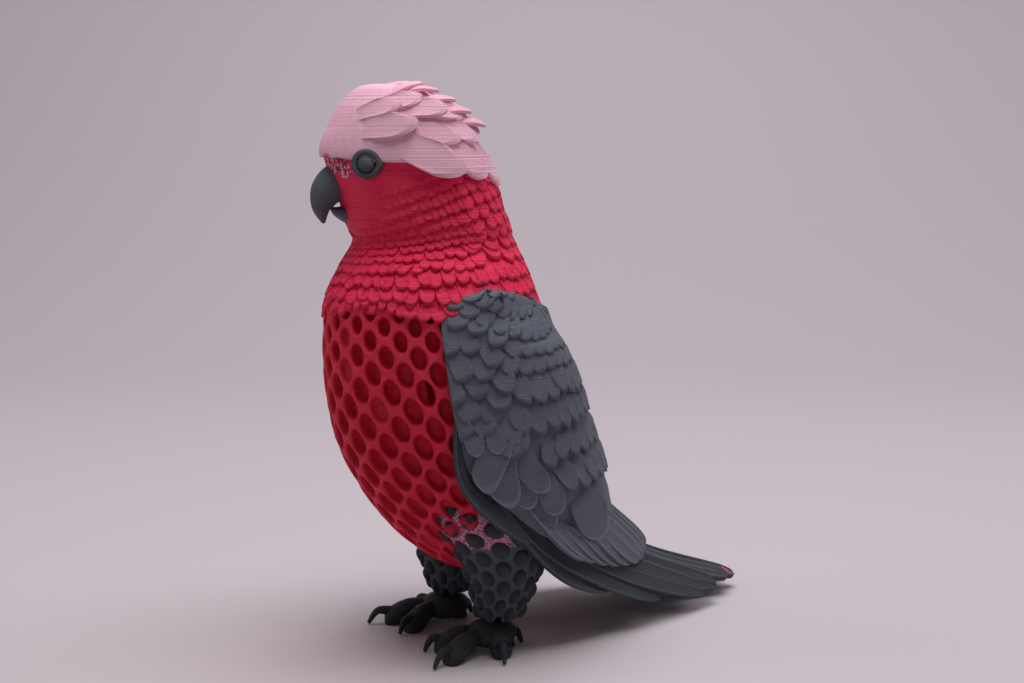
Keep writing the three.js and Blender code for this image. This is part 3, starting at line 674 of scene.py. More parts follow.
headSkin = {
    "low": 92.5, "high": 148.55, "rows": 110, "columns": 96, "crowd": 0.9, "sunk": 0.1, "sunkMore": 0.35,
    "feathered": (112, 104),  # heights between which the skin sinks under the feathers, in front
    "rear": (-0.75, 0.5),  # and where round the head, as the cosine of the turn from its back
}
neckFeathers = {
    "steps": (0.05, 0.4), "round": 0.6, "rootWidth": 1.2, "sink": 0.9, "swell": 0.8, "ridge": 0.12,
    "bevel": 0.12, "mapS": 0.159, "mapT": 0.01, "crowd": 0.92,
    # rows from the eye down: height of the tips at the side, climb towards the nape, width, length, lift at
    # the face and at the nape, and how far round from the breast the row starts, in degrees
    "rows": [
        [124.6, 6.3, 1.95, 4.0, 0.1, 0.45, 30], [121.6, 6.3, 1.95, 4.0, 0.14, 0.45, 30],
        [118.7, 6.2, 2.0, 4.0, 0.2, 0.5, 20], [115.7, 5.5, 2.05, 4.0, 0.28, 0.5, 10],
        [112.8, 4.4, 2.15, 4.0, 0.35, 0.55, 0], [110.4, 3.4, 2.35, 4.2, 0.45, 0.55, 0],
        [108.1, 2.6, 2.5, 4.4, 0.55, 0.6, 0], [105.7, 2.0, 2.8, 4.8, 0.65, 0.65, 0],
        [102.8, 1.4, 3.0, 5.4, 0.75, 0.7, 0], [99.2, 0.8, 3.3, 6.0, 0.85, 0.75, 0],
        [95.2, 0.4, 3.7, 6.4, 0.95, 0.85, 0], [91.4, 0.1, 3.9, 6.4, 1.0, 0.95, 50],
        [87.4, 0.0, 4.2, 6.4, 1.0, 1.0, 78],
    ],
    "napeFrom": 100, "nape": (0.1, 0.7), "napeWider": 0.8, "napeLonger": 0.25, "rearLonger": 0.2,
    "widthSpread": (1.0, 1.12), "lengthSpread": (0.93, 1.1), "liftSpread": (0.95, 1.05),
    "turnJitter": 0.12, "tipJitter": 0.3, "looseBelow": 104, "spinJitter": 0.03,
    "eyeClear": 6.4, "beakRoot": (16, 0, 120), "beakClear": 8.5,
    # narrow ones hang below the last row in front: height of the tips, width, uneven length, length, lift
    "drops": [92.4, 2.3, 1.1, 7.0, 0.9], "dropsTo": 52, "dropsEach": 5.2, "dropSpread": (0.7, 1.3),
    "dropSpin": 0.1, "dropRound": 0.9,
}


def makeHeadSkin():  # the skin itself, a little inside it where feathers lie on it
    look, pile = headSkin, Pile()
    height = look["low"] + (look["high"] - look["low"]) * eased(look["rows"], 0, 0)[:, None] ** look["crowd"]
    turn = circle(look["columns"])[None]
    rear = smooth(-np.cos(turn + statue["headTurn"]), *look["rear"])
    sunk = look["sunk"] + look["sunkMore"] * np.maximum(rear, smooth(height, *look["feathered"]))
    pile.add(*cappedTube(onSkin(turn, height, -sunk)))
    putMesh("head_skin", pile, pinkPlastic, ["head", "neck"])


def makeNeckFeathers():
    # rows of scallops that climb towards the nape, as level - climb * cosine of the turn from the face, clear
    # of the eyes and the beak. High on the nape every other one is left out, and the rest are broader
    look, pile, chance = neckFeathers, Pile(), np.random.default_rng(11)
    eyes = [headPoint(eye["forward"], side, eye["height"]) for side in (eye["side"], -eye["side"])]
    for number, (level, climb, width, length, front, behind, first) in enumerate(look["rows"]):
        around = np.linalg.norm(skinPoint(math.pi / 2, level) - skinPoint(-math.pi / 2, level)) * math.pi
        count = int(around / (width * look["crowd"]))
        turn = (np.arange(count) + 0.5 * (number % 2)) / count * 2 * math.pi
        turn = turn + chance.normal(0, look["turnJitter"], count) * 2 * math.pi / count
        ahead = np.cos(turn + statue["headTurn"])
        rear = smooth(-ahead, *headSkin["rear"])
        broad = smooth(-ahead, *look["nape"]) * (level > look["napeFrom"])
        wide = width * chance.uniform(*look["widthSpread"], count) * (1 + look["napeWider"] * broad)
        long = length * (0.9 + look["rearLonger"] * rear + look["napeLonger"] * broad)
        long = long * chance.uniform(*look["lengthSpread"], count)
        loose = 0.4 + 0.6 * rear + 0.9 * (level < look["looseBelow"])
        tip = level - climb * ahead + chance.normal(0, look["tipJitter"], count) * loose
        lift = (front + (behind - front) * rear) * chance.uniform(*look["liftSpread"], count)
        spin = chance.normal(0, look["spinJitter"], count)
        eyeAway = np.min([np.linalg.norm(skinPoint(turn, tip + 2) - place, axis=-1) for place in eyes], 0)
        beakAway = np.linalg.norm(skinPoint(turn, tip + 1) - headPoint(*look["beakRoot"]), axis=-1)
        keep = (eyeAway > look["eyeClear"]) & (beakAway > look["beakClear"]) & (fromFront(turn) >= first)
        keep = keep & ((np.arange(count) % 2 == 0) | (broad < 0.5))
        tips = np.stack([turn, tip], -1)
        feathersOn(pile, onSkin, tips[keep], wide[keep], long[keep], lift[keep], spin[keep], look)
    level, width, uneven, length, lift = look["drops"]
    turn = np.radians(np.arange(-look["dropsTo"], look["dropsTo"] + 1, look["dropsEach"]))
    tip = level + chance.normal(0, uneven, len(turn))
    width = width * chance.uniform(*look["dropSpread"], len(turn))
    spin = chance.normal(0, look["dropSpin"], len(turn))
    feathersOn(pile, onSkin, np.stack([turn, tip], -1), width, length, lift, spin,
               {**look, "round": look["dropRound"]})
    putMesh("neck_feathers", pile, pinkPlastic, mapped=True)


# Long feathers: a flat section swept along a curve, as wide as the vane is at each place, with a raised rim
# and a shaft. Each of the section's places: across from -1 to 1, height in half thicknesses, height in rim
# heights, which also sets the mark: a painted highlight on the grey feathers' rims and shafts, painted shade
# on the crest's
bladeSection = np.array([
    [-1, 0, 0], [-0.985, 0.7, 0.5], [-0.93, 0.9, 1], [-0.84, 0.95, 0.9], [-0.76, 0.9, 0], [-0.4, 0.97, 0],
    [-0.12, 1, 0], [-0.05, 1, 0.7], [0.05, 1, 0.7], [0.12, 1, 0], [0.4, 0.97, 0], [0.76, 0.9, 0],
    [0.84, 0.95, 0.9], [0.93, 0.9, 1], [0.985, 0.7, 0.5], [1, 0, 0], [0.93, -0.9, 0], [0.4, -1, 0],
    [0, -1, 0.3], [-0.4, -1, 0], [-0.93, -0.9, 0],
])
bladeLook = {"rows": 44, "crowd": 1.9, "first": 0.004, "last": 0.9995, "narrow": 1.5, "leastThick": 0.35}


def vane(along):  # a feather's width as a share of its greatest: narrow root, round tip
    return np.sin(math.pi * along**1.25) ** 0.45 * (0.55 + 0.45 * along)


def lobeWidth(along):  # a broad tongue: wide soon after the root, and a round tip
    return np.sin(math.pi * along**0.95) ** 0.55


def blade(pile, path, half, thick, upWay, rim, dome, width=vane, thin=(1, 1)):
    # the section at places that crowd towards the tip, domed by 1 - across**2 and flatter where it is narrow.
    # half is the greatest half width, and thin the shares of the thickness at root and tip
    look = bladeLook
    along = 1 - (1 - np.linspace(0, 1, look["rows"] + 2)[1:-1]) ** look["crowd"]
    along = np.clip(along, look["first"], look["last"])
    spine, aside, up = curveFrame(path, along, upWay)
    across, high, raised = bladeSection.T
    wide = (half * width(along))[:, None]
    flat = thick / 2 * (thin[0] + (thin[1] - thin[0]) * along)[:, None]
    broad = np.clip(wide / look["narrow"], 0, 1)
    high = high * flat * np.minimum(broad + look["leastThick"], 1) + raised * rim * broad
    high = high + dome * (1 - across**2) * broad
    rings = spine + aside * (across * wide)[..., None] + up * high[..., None]
    # rims and shaft take the material's mark colour: painted highlight on grey feathers, painted shade on the
    # crest
    mark = np.broadcast_to(np.maximum(raised, 0), high.shape).ravel()
    pile.add(*cappedTube(rings), np.concatenate([mark, [0, 1]]))


# Crest: a cap over the skull, broad lobes that lie on it, and more that stand free over the crown. Those off
# the middle come in pairs
crest = {
    "depth": 0.9, "low": 129.65, "high": 148.5, "brow": 1.3, "browFrom": 0.5, "inside": -1.0,
    "grooves": 34, "grooveDepth": 0.3, "grooveFoot": (131, 134), "grooveTop": (144, 148),
    # tip's turn and height, width, length, lift, and the way it points from straight down
    "lying": [
        [165, 128.4, 7.6, 16, 1.2, 0], [149, 123.4, 5.8, 19, 1.5, 38], [125, 125.4, 6.2, 20, 2.0, 48],
        [105.5, 126.9, 7.8, 21.5, 2.6, 65], [165, 136.2, 7.2, 14, 2.4, 0],
        [115, 134.6, 5.0, 15, 2.3, 74], [134, 134.2, 4.8, 15, 2.8, 64], [153, 135.8, 4.8, 16, 3.2, 56],
        [138, 139.6, 4.8, 17, 3.4, 74], [82, 138.6, 5.8, 16, 2.5, 95], [98, 144.2, 4.4, 14, 2.8, 100],
        [74, 143.2, 4.4, 13, 2.5, 106], [118, 141.6, 5.0, 15, 3.0, 86],
    ],
    # the walls under each lobe's edge take the crest's deeper pink, a painted shade
    "lobe": {"steps": (0.05, 0.4), "round": 0.95, "rootWidth": 0.75, "sink": 0.4, "swell": 0.7, "ridge": 0.35,
             "bevel": 0.3, "lean": 0.3, "blunt": 1.25, "wallShade": 1.0, "deep": 0.5,
             "mapS": 0.159, "mapT": 0.01},
    # root and tip as ahead, side and height in the head's terms, and half width
    "free": [
        [7.6, 9.8, 143.8, -5.6, 6.6, 149.3, 2.3], [4.4, 9.4, 145.2, -8.2, 7.2, 147.6, 2.0],
        [0, 11.4, 142.8, -13.6, 8.6, 145.2, 2.1], [-8, 12.2, 139.2, -21.8, 6.8, 138.8, 2.0],
        [-4, 12.4, 141, -17.8, 8.2, 142.2, 2.0], [9, 3, 144.6, -3.4, 2, 149.4, 3.2],
        [3, 2.6, 146, -10.6, 2.4, 147.4, 3.0], [-3, 3.4, 145, -16.2, 3.4, 142.8, 2.8],
    ],
    "freeSwell": 1.2, "bendAt": 0.55, "rootSunk": 0.8, "centre": (-2, 0, 122), "lean": 0.3,
    "thick": 0.9, "thin": (1.3, 0.7), "dome": 0.5,
}


def makeCrest():
    # the cap is the skin moved out, less |sine| grooves, from a level foot up to the crown
    look, pile = crest, Pile()
    turn = circle(120)
    share = np.linspace(0, 1, 60)[:, None]
    ahead = smooth(np.cos(turn + statue["headTurn"]), look["browFrom"], 1.0)[None]
    level = look["low"] + look["brow"] * ahead
    height = level + (look["high"] - level) * np.sin(share * math.pi / 2)
    grooves = look["grooveDepth"] * np.abs(np.sin(turn * look["grooves"] / 2))[None]
    grooves = grooves * smooth(height, *look["grooveFoot"]) * (1 - smooth(height, *look["grooveTop"]))
    rings = onSkin(turn[None] + 0 * height, height, look["depth"] - grooves)
    inner = onSkin(turn, level[0], look["inside"] + 0 * turn)
    pile.add(*cappedTube(np.concatenate([inner[None], rings])))
    middle = math.degrees(math.pi - statue["headTurn"])
    for turn, height, width, length, lift, way in look["lying"]:
        for hand in ([1] if turn == middle else [1, -1]):
            spin = math.radians(hand * way + 1e-6)  # never quite 0, so that the lean has a side
            tip = [math.radians(middle + hand * (turn - middle)), height]
            feathersOn(pile, onSkin, [tip], width, length, lift, spin, look["lobe"], manyAcross, manyAlong)
    centre = headPoint(*look["centre"])
    for ahead, side, height, tipAhead, tipSide, tipHeight, half in look["free"]:
        for hand in (1, -1):
            start, end = headPoint(ahead, hand * side, height), headPoint(tipAhead, hand * tipSide, tipHeight)
            bend = start + (end - start) * look["bendAt"]
            bend = bend + unit(bend - centre) * look["freeSwell"]
            start = start - unit(start - centre) * look["rootSunk"]
            blade(pile, [start, bend, end], half, look["thick"],
                  lambda spine, tangent: unit(spine - centre) + [0, 0, look["lean"]], 0.0, look["dome"],
                  lobeWidth, look["thin"])
    putMesh("crest_lobes", pile, crestPlastic, ["crest"])


# Wings: a plate under a surface that swells between a front and a back edge, and feathers in rows on it
wing = {
    "front": [[24.6, -5, 98.6], [25.1, -13, 96.4], [25.6, -17, 91.5], [27.4, -16.9, 82], [28.9, -15.4, 68],
              [29.2, -11, 52], [29.2, -1, 43], [27.8, 10, 34.3], [25, 22.5, 28], [20.8, 36, 22.4],
              [14.5, 48, 22]],
    "back": [[24.6, -5, 98.6], [23.2, 6.4, 96.4], [14.2, 19.6, 91.4], [4, 28, 83], [2.4, 35, 70],
             [2.4, 40, 57.5], [2.8, 43.2, 46.5], [4, 44.6, 38], [6.4, 46, 31.4], [9.4, 48.6, 26.2],
             [14.5, 48, 22]],
    "swell": [1, 4.6, 10.4, 13.8, 14.4, 13.4, 11.4, 8.4, 5, 2, 0], "thick": 2.6, "lower": 0.21, "taper": 12,
    # rows of feathers: height of the tips near the front and near the back, width, length, lift
    "rows": [
        [98.4, 93.8, 4.4, 8.0, 0.3], [95.0, 90.2, 4.5, 8.5, 0.4], [91.0, 85.6, 4.6, 8.8, 0.5],
        [87.0, 81.2, 4.7, 9.0, 0.55], [82.8, 76.6, 4.8, 9.6, 0.65], [78.3, 68.8, 4.9, 11.5, 0.9],
        [73.4, 60.6, 5.0, 12.5, 0.95], [68.4, 51.8, 5.1, 12.5, 1.0], [64.0, 43.4, 5.3, 12.5, 1.3],
    ],
    "perRow": 40, "crowd": 1.06, "turn": 0.42, "behindJitter": 0.2, "tipJitter": 0.3,
    "lastBehind": 62, "lowest": 30,
    # how many rows are upper ones, and between how many mm behind the front edge the upper and the lower
    # rows step down
    "upperRows": 3, "upperBreak": (0, 32), "lowerBreak": (7, 19),
    "overhang": 0.5, "firstPoint": 78, "pointOver": 10, "pointLift": 0.3, "pointRound": 0.5,
    "pointBlunt": 1.5, "widthSpread": (0.98, 1.05), "lengthSpread": (0.95, 1.08), "spread": (0.95, 1.05),
    # single tongues: tip's mm behind the front edge and height, width, length, lift, turn
    "tongues": [
        [24, 31, 8, 15, 0.6, 0.7], [1.9, 31.8, 6.5, 14, 1.4, 0.7], [0.6, 35.2, 6.5, 16, 1.2, 0.8],
        [8.5, 29.6, 12, 20, 2.2, 0.45], [3.3, 37.5, 8, 15, 0.95, 0.6], [4.6, 44.3, 6.5, 15, 0.75, 0.3],
        [8.7, 40.5, 7, 14, 1.2, 0.42], [11, 47.1, 6.6, 14, 1.3, 0.45], [1.2, 46.7, 9, 30, 1.3, 0.02],
        [1.1, 52, 10, 30, 1.7, 0.04], [12.3, 60.9, 4.6, 9, 1.5, 0.1], [7.6, 59.4, 5.2, 10, 1.6, 0.1],
        [2.8, 60, 4.8, 10, 1.7, 0.1],
    ],
    "feather": {"steps": (0.6, 0.6), "round": 0.32, "rootWidth": 1.0, "sink": 0.9, "swell": 0.85,
                "ridge": 0.05, "bevel": 0.16, "mapS": 0.015, "mapT": 0.01},
    # the tongues' rims on one side take the wing grey's painted highlight
    "tongue": {"steps": (0.6, 0.6), "round": 0.8, "rootWidth": 0.85, "sink": 1.0, "swell": 0.4,
               "ridge": -0.05, "bevel": 0.05, "blunt": 1.3, "lean": 0.15, "sideRim": 1, "rimHighlight": 1.0,
               "mapS": 0.015, "mapT": 0.01},
    # long feathers' curves, four of the secondaries from the front one to the rear one, and the flight
    # feathers with their half widths
    "secondaries": [
        [[28.2, 3, 46], [27.2, 16, 34], [24.2, 27, 25.8]],
        [[25.6, 14, 44], [24.4, 26, 31.5], [20.6, 38.6, 21]],
        [[21.6, 25, 42], [20.6, 37, 29.5], [16.8, 49, 19.4]],
        [[10.5, 33, 43], [12.8, 41.2, 31.6], [12.8, 53.4, 21.2]],
    ],
    "flight": [
        [[28.3, -14.4, 67], [28.3, -12, 51.5], [28, -2.8, 41.5], [26.6, 8.6, 32.6], 4.2],
        [[27, -4, 48], [26.4, 8, 33], [24.4, 21, 22], [21.6, 36, 14.5], 5],
        [[26.8, -7, 53], [26, 10, 33.5], [22.4, 30.6, 20.3], [18, 55.4, 7.5], 5.6],
        [[26, -3, 52], [24.4, 17.4, 33], [19.2, 43.2, 17.6], [14.6, 73.8, 4.8], 5.2],
        [[24.5, 2, 51], [21.6, 25.6, 31], [16.2, 51, 16.4], [12.8, 79.2, 5.6], 4.8],
    ],
    "secondaryCount": 9, "secondaryHalf": 5.2, "rearNarrower": 0.8, "secondaryThick": 1.8,
    "secondaryDome": 0.2, "flightThick": 1.5, "flightDome": 0.15, "longUp": (1, 0.15, 0.55), "rim": 0.12,
}


def wingSurface(share, along):
    # from the front edge to the back one in a straight line, bulging out by 4 * swell * share * (1 - share)
    edges = [throughRows(wing["front"], along), throughRows(wing["back"], along)]
    middles = [(throughRows(wing["front"], at) + throughRows(wing["back"], at)) / 2
               for at in (along + 0.02, along - 0.02)]
    out = unit(np.cross(middles[0] - middles[1], edges[1] - edges[0]))
    share = share[..., None]
    bulge = throughRows(np.array(wing["swell"])[:, None], along) * 4 * share * (1 - share)
    return edges[0] + (edges[1] - edges[0]) * share + out * bulge


def onWing(share, along, out=0.0):  # the surface's point, moved out along its normal
    share, along, out = np.broadcast_arrays(*(np.asarray(v, float) for v in (share, along, out)))
    share, along = np.clip(share, 0, 1), np.clip(along, 0, 1)
    inward, step = 0.05, 0.03  # the normal is taken a little within the edges
    s, a = (np.clip(v, inward, 1 - inward) for v in (share, along))
    ahead = wingSurface(s, a + step) - wingSurface(s, a - step)
    across = wingSurface(s + step, a) - wingSurface(s - step, a)
    return wingSurface(share, along) + unit(np.cross(ahead, across)) * out[..., None]


# the same surface, by mm behind the front edge and by height
wingSteps = np.linspace(0, 1, 300)
wingHeights = onWing(0.25, wingSteps)[:, 2]
wingSlices = onWing(np.linspace(0, 1, 60)[:, None], wingSteps[None])
wingSlices = np.linalg.norm(np.diff(wingSlices, axis=0), axis=-1).sum(0)


def wingPlace(behind, height, out=0.0):
    along = np.interp(-np.asarray(height, float), -wingHeights, wingSteps)
    return onWing(behind / np.maximum(np.interp(along, wingSteps, wingSlices), 1), along, out)


def wingPlate(look):  # an oval section as wide as the surface, thin at both ends and mostly below the surface
    angle = circle(40)[None]
    along = eased(60, 0.06, 0.06)[:, None]
    half = look["thick"] / 2
    thin = np.minimum(1, look["taper"] * along * (1 - along))
    lift = half * thin * np.sin(angle) - half * np.sin(angle) ** 2 - look["lower"]
    return cappedTube(onWing((1 - np.cos(angle)) / 2 + 0 * along, along + 0 * angle, lift))


def wingRow(look, pile, chance, number):
    # tips at equal steps behind the front edge, and a step down from the row's front height to its rear one.
    # The lower rows have points behind, and their overhang is greatest where the row steps down
    front, rear, width, length, lift = look["rows"][number]
    count, lower = look["perRow"], number >= look["upperRows"]
    behind = (np.arange(count) + 0.3 + 0.5 * (number % 2)) * width
    behind = behind + chance.normal(0, look["behindJitter"], count)
    back = smooth(behind, *look["lowerBreak" if lower else "upperBreak"])
    tip = front + (rear - front) * back + chance.normal(0, look["tipJitter"], count)
    wide = np.interp(-tip, -wingHeights, wingSlices)
    keep = (behind < look["lastBehind"]) & (behind < wide + 1) & (tip > look["lowest"])
    behind, tip, back = behind[keep], tip[keep], back[keep]
    count = len(tip)
    point = back * np.clip((look["firstPoint"] - rear) / look["pointOver"], 0, 1)
    lift = lift * chance.uniform(*look["spread"], count)
    lift = lift + look["overhang"] * back * (1 - back) * 4 * lower + look["pointLift"] * point
    shape = {"round": (look["feather"]["round"] + look["pointRound"] * point)[:, None, None],
             "blunt": (1 + look["pointBlunt"] * point)[:, None, None]}
    width = width * look["crowd"] * chance.uniform(*look["widthSpread"], count)
    length = length * chance.uniform(*look["lengthSpread"], count)
    feathersOn(pile, wingPlace, np.stack([behind, tip], -1), width, length, lift,
               look["turn"] * chance.uniform(*look["spread"], count), {**look["feather"], **shape})


def makeWings():
    look, base, feathers, flight = wing, Pile(), Pile(), Pile()
    base.add(*wingPlate(look))
    for share in np.linspace(0, 1, look["secondaryCount"]):  # more blades between the four
        half = look["secondaryHalf"] - look["rearNarrower"] * share
        blade(base, throughRows(look["secondaries"], share), half, look["secondaryThick"], look["longUp"],
              look["rim"], look["secondaryDome"])
    for *path, half in look["flight"]:
        blade(flight, path, half, look["flightThick"], look["longUp"], look["rim"], look["flightDome"])
    chance = np.random.default_rng(5)
    for number in range(len(look["rows"])):
        wingRow(look, feathers, chance, number)
    for behind, tip, width, length, lift, turn in look["tongues"]:
        feathersOn(feathers, wingPlace, [[behind, tip]], width, length, lift, turn, look["tongue"],
                   manyAcross, manyAlong)
    putPairs([
        ["wing_base_{}", base, wingPlastic, "wing_grey", ["wing_{}"], False],
        ["wing_feathers_{}", feathers, wingPlastic, "wing_grey", [], True],
        ["flight_feathers_{}", flight, darkPlastic, "dark_grey", ["flight_{}"], False],
    ])


# Back: a plain shell between the wings, with feathers in rows
back = {
    "low": 24, "high": 95, "from": math.radians(112), "to": math.radians(248), "out": 0.35, "in": -1.2,
    "firstTips": 84.4, "rows": 11, "rowStep": 6.2, "width": 5.4, "length": 8.6, "lift": 1.0, "arc": 1.3,
    "crowd": 0.92, "tipJitter": 0.4, "widthSpread": (0.95, 1.2), "spinJitter": 0.08,
    "feather": {"steps": (0.05, 0.4), "round": 0.5, "rootWidth": 1.0, "sink": 0.7, "swell": 0.8, "ridge": 0.1,
                "bevel": 0.2, "mapS": 0.159, "mapT": 0.01},
}


def makeBack():
    # the shell is a stack of flat rings, out along the skin's outer side and back along its inner one
    look, pile, chance = back, Pile(), np.random.default_rng(3)
    turn = np.linspace(look["from"], look["to"], 40)
    height = np.linspace(look["low"], look["high"], 50)[:, None]
    lift = np.repeat([look["out"], look["in"]], len(turn))[None]
    turn = np.concatenate([turn, turn[::-1]])[None]
    pile.add(*cappedTube(onSkin(turn + 0 * height, height + 0 * turn, lift + 0 * height)))
    for number in range(look["rows"]):
        tips = look["firstTips"] - number * look["rowStep"]
        level = tips + look["length"]
        around = np.linalg.norm(skinPoint(look["from"], level) - skinPoint(look["to"], level)) * look["arc"]
        count = max(int(around / (look["width"] * look["crowd"])), 2)
        share = (np.arange(count) + 0.25 + 0.5 * (number % 2)) / count
        turn = look["from"] + share * (look["to"] - look["from"])
        tip = tips + chance.normal(0, look["tipJitter"], count)
        width = look["width"] * chance.uniform(*look["widthSpread"], count)
        spin = chance.normal(0, look["spinJitter"], count)
        feathersOn(pile, onSkin, np.stack([turn, tip], -1), width, look["length"], look["lift"], spin,
                   look["feather"])
    putMesh("back_feathers", pile, wingPlastic, ["back"], mapped=True)


# Tail: a root under the rump and three pairs of long feathers, roofed from the middle out
tail = {
    "root": [[0, 24, 29], [0, 42, 25], [0, 60, 17]], "rootHalf": 11, "rootThick": 10, "rootUp": (0, 0.4, 1),
    # root side, tip side, reach, half width
    "pairs": [[2.4, 3, 93.6, 5], [5.4, 6.8, 88, 4.6], [8.4, 8.6, 71, 4.6]],
    "rootY": 36, "rootHeight": 30, "tipHeight": 3.7, "slope": 0.36, "layer": 0.9, "sag": 2.8, "tilt": 0.34,
    "lean": 0.3, "thick": 1.5, "rim": 0.3, "dome": 0.1,
}


def makeTail():
    # each pair lies a layer below the one before, and its curve sags below the line from root to tip
    look, pile = tail, Pile()
    along = np.linspace(0.01, 0.99, 40)
    wide = look["rootHalf"] * np.sin(math.pi * along) ** 0.4
    high = look["rootThick"] / 2 * np.sin(math.pi * along) ** 0.5 * (1.1 - 0.7 * along)
    pile.add(*cappedTube(ovalTube(look["root"], along, wide, high, look["rootUp"], 40)))
    for layer, (start, side, reach, half) in enumerate(look["pairs"]):
        lower = layer * look["layer"]
        top = look["rootHeight"] - lower
        tip = look["tipHeight"] + look["slope"] * (look["pairs"][0][2] - reach) - lower
        for hand in (1, -1):
            first, last = np.array([hand * start, look["rootY"], top]), np.array([hand * side, reach, tip])
            middle = (first + last) / 2 - [0, 0, look["sag"]]
            blade(pile, [first, middle, last], half, look["thick"], (hand * look["tilt"], look["lean"], 1),
                  look["rim"], look["dome"])
    putMesh("tail_feathers", pile, darkPlastic, ["tail"])


# Legs: thighs of buttons on a web, and plain feet
thigh = {
    # height, middle's x and y, half widths across and ahead
    "levels": [[45, 14, 3, 0, 0], [43, 14.6, 1.8, 8.2, 12.4], [37, 15.4, 2.6, 10.7, 15.2],
               [29, 15.3, 5.3, 10.1, 12.4], [20, 14.8, 6.4, 8.4, 9.3], [12.5, 14, 6, 6.2, 6.8],
               [8.5, 13.6, 5.6, 4.4, 4.8], [7.6, 13.6, 5.4, 0, 0]],
    "around": 7, "pitch": 9.9, "rise": 6.0, "firstTurn": math.radians(4), "twist": math.radians(18),
    "side": 0.14, "upright": False, "holeWidth": 4.2, "holeHeight": 4.9, "low": 8.4, "high": 43.5,
    "measuredAt": math.radians(90),
    # each ring's share, its height, and how much of the painted highlight it takes
    "profile": [[1.5, 0, 1], [1.2, -0.05, 1], [1.02, -0.15, 0.6], [0.96, -0.15, 0], [0.88, 0.3, 0],
                [0.72, 0.8, 0], [0.5, 1.15, 0], [0.25, 1.3, 0]],
    "middle": 1.2, "web": 0.05, "caps": [[14.2, 3.4, 44.4], [13.6, 5.5, 8]],
}
thighAt = byHeight(thigh["levels"])


def thighPoint(turn, height):  # an ellipse at each height
    x, y, halfX, halfY = thighAt(height)
    return np.stack([x + halfX * np.sin(turn), y - halfY * np.cos(turn), height + 0 * turn], -1)


def makeThighs():
    # the lattice of the openwork, with a dome in each hole, twisted a little on its way up
    look, pile = thigh, Pile()
    heights, ways = meridian(thighPoint, look["measuredAt"], look["low"], look["high"])
    rows = np.arange(1, math.floor(ways[-1] / look["rise"] * 2))
    row, column = np.meshgrid(rows, np.arange(look["around"]), indexing="ij")
    ones = 1 + 0 * row
    cells = np.stack([column + 0.5 * (row % 2), row / 2, ones, 0 * row, ones], -1).reshape(-1, 5)

    def place(across, up, lift):
        height = np.interp(up * look["rise"], ways, heights)
        first = look["firstTurn"] + look["twist"] * height / look["high"]
        return offSurface(thighPoint, first + across * 2 * math.pi / look["around"], height, lift, 0.05)

    cellShell(pile, place, look, cells, np.array(look["caps"]))
    putPairs([["thigh_buttons_{}", pile, thighPlastic, "dark_grey", ["thigh_{}"], False]])


foot = {
    "ankle": [13.4, 3.4, 4.6], "ankleSize": [6.2, 7.2, 3.8],
    # pad and claw of each toe
    "toes": [[18, -10.4, 20.4, -17.2], [9.2, -8.8, 7.6, -13.6], [20.8, 2.6, 26.4, 0.2],
             [13.6, 8.4, 14.4, 12.4]],
    "arch": [[0.25, 4.6], [0.65, 4.3], [1, 2.1], [1.18, 2.1]],  # share of the way to the pad, and height
    "toeRadius": 3.2, "clawRadius": 1.25, "clawTall": 1.15, "clawRoot": 3.4, "clawTip": 0.5,
    "knuckleAt": 0.62, "knuckleHeight": 3.9,
    "nodes": ["ankle_{}", "toe_{}_outer_front", "toe_{}_inner_front", "toe_{}_outer_back",
              "toe_{}_inner_back"],
}


def makeFeet():
    # an ellipsoid for the ankle, and for each toe an arched tube, with a thinner one that hooks down from
    # its end
    look, pile = foot, Pile()
    lean = np.linspace(0.08, math.pi - 0.08, 24)[:, None]
    angle = circle(32)[None]
    ball = np.stack([np.sin(lean) * np.sin(angle), -np.sin(lean) * np.cos(angle),
                     np.cos(lean) + 0 * angle], -1)
    pile.add(*cappedTube(look["ankle"] + look["ankleSize"] * ball))
    along, start = eased(32), np.array(look["ankle"][:2])
    thick = look["toeRadius"] * (0.8 + 0.25 * along) * np.sin(math.pi * along) ** 0.35
    thin = look["clawRadius"] * (1.1 - 0.75 * along)
    for toe in look["toes"]:
        pad, claw = np.array(toe[:2]), np.array(toe[2:])
        arch = [[*(start + (pad - start) * share), height] for share, height in look["arch"]]
        knuckle = [*(pad + (claw - pad) * look["knuckleAt"]), look["knuckleHeight"]]
        hook = [[*pad, look["clawRoot"]], knuckle, [*claw, look["clawTip"]]]
        for path, wide, tall in ((arch, thick, thick), (hook, thin, thin * look["clawTall"])):
            rings = ovalTube(path, along, wide, tall)
            rings[..., 2] = np.maximum(rings[..., 2], 0.0)  # flat where it stands on the floor
            pile.add(*cappedTube(rings))
    putPairs([["foot_{}", pile, footPlastic, "dark_grey", look["nodes"], False]])


# Beak: the upper half hooks down over a short lower one. Points are ahead and height in the head's terms,
# with the half width and the half height there
beak = {
    "upper": [[11, 124.2, 4.9, 5], [15, 124.6, 5.2, 5.1], [18.4, 122, 4.7, 4.3], [19.9, 118, 3, 2.6],
              [19.4, 113.9, 0.5, 0.4]],
    "lower": [[9.5, 115.0, 4.4, 2.6], [13.4, 116.1, 4.4, 2.2], [16, 116.9, 3.8, 1.3],
              [17.5, 117.9, 1.4, 0.3]],
}


def makeBeak():  # ellipses across each half's curve
    sideways = headPoint(0, 1, 0) - headPoint(0, 0, 0)
    for part, rows in beak.items():
        path = [headPoint(ahead, 0, height) for ahead, height, wide, high in rows]
        along = eased(60, 0.05, 0.03)
        wide, high = throughRows(rows, along)[:, 2:].T
        rings = ovalTube(path, along, wide, high, lambda spine, tangent: np.cross(tangent, sideways), 40)
        pile = Pile()
        pile.add(*cappedTube(rings))
        putMesh("beak_" + part + "_half", pile, beakPlastic, ["beak_" + part])


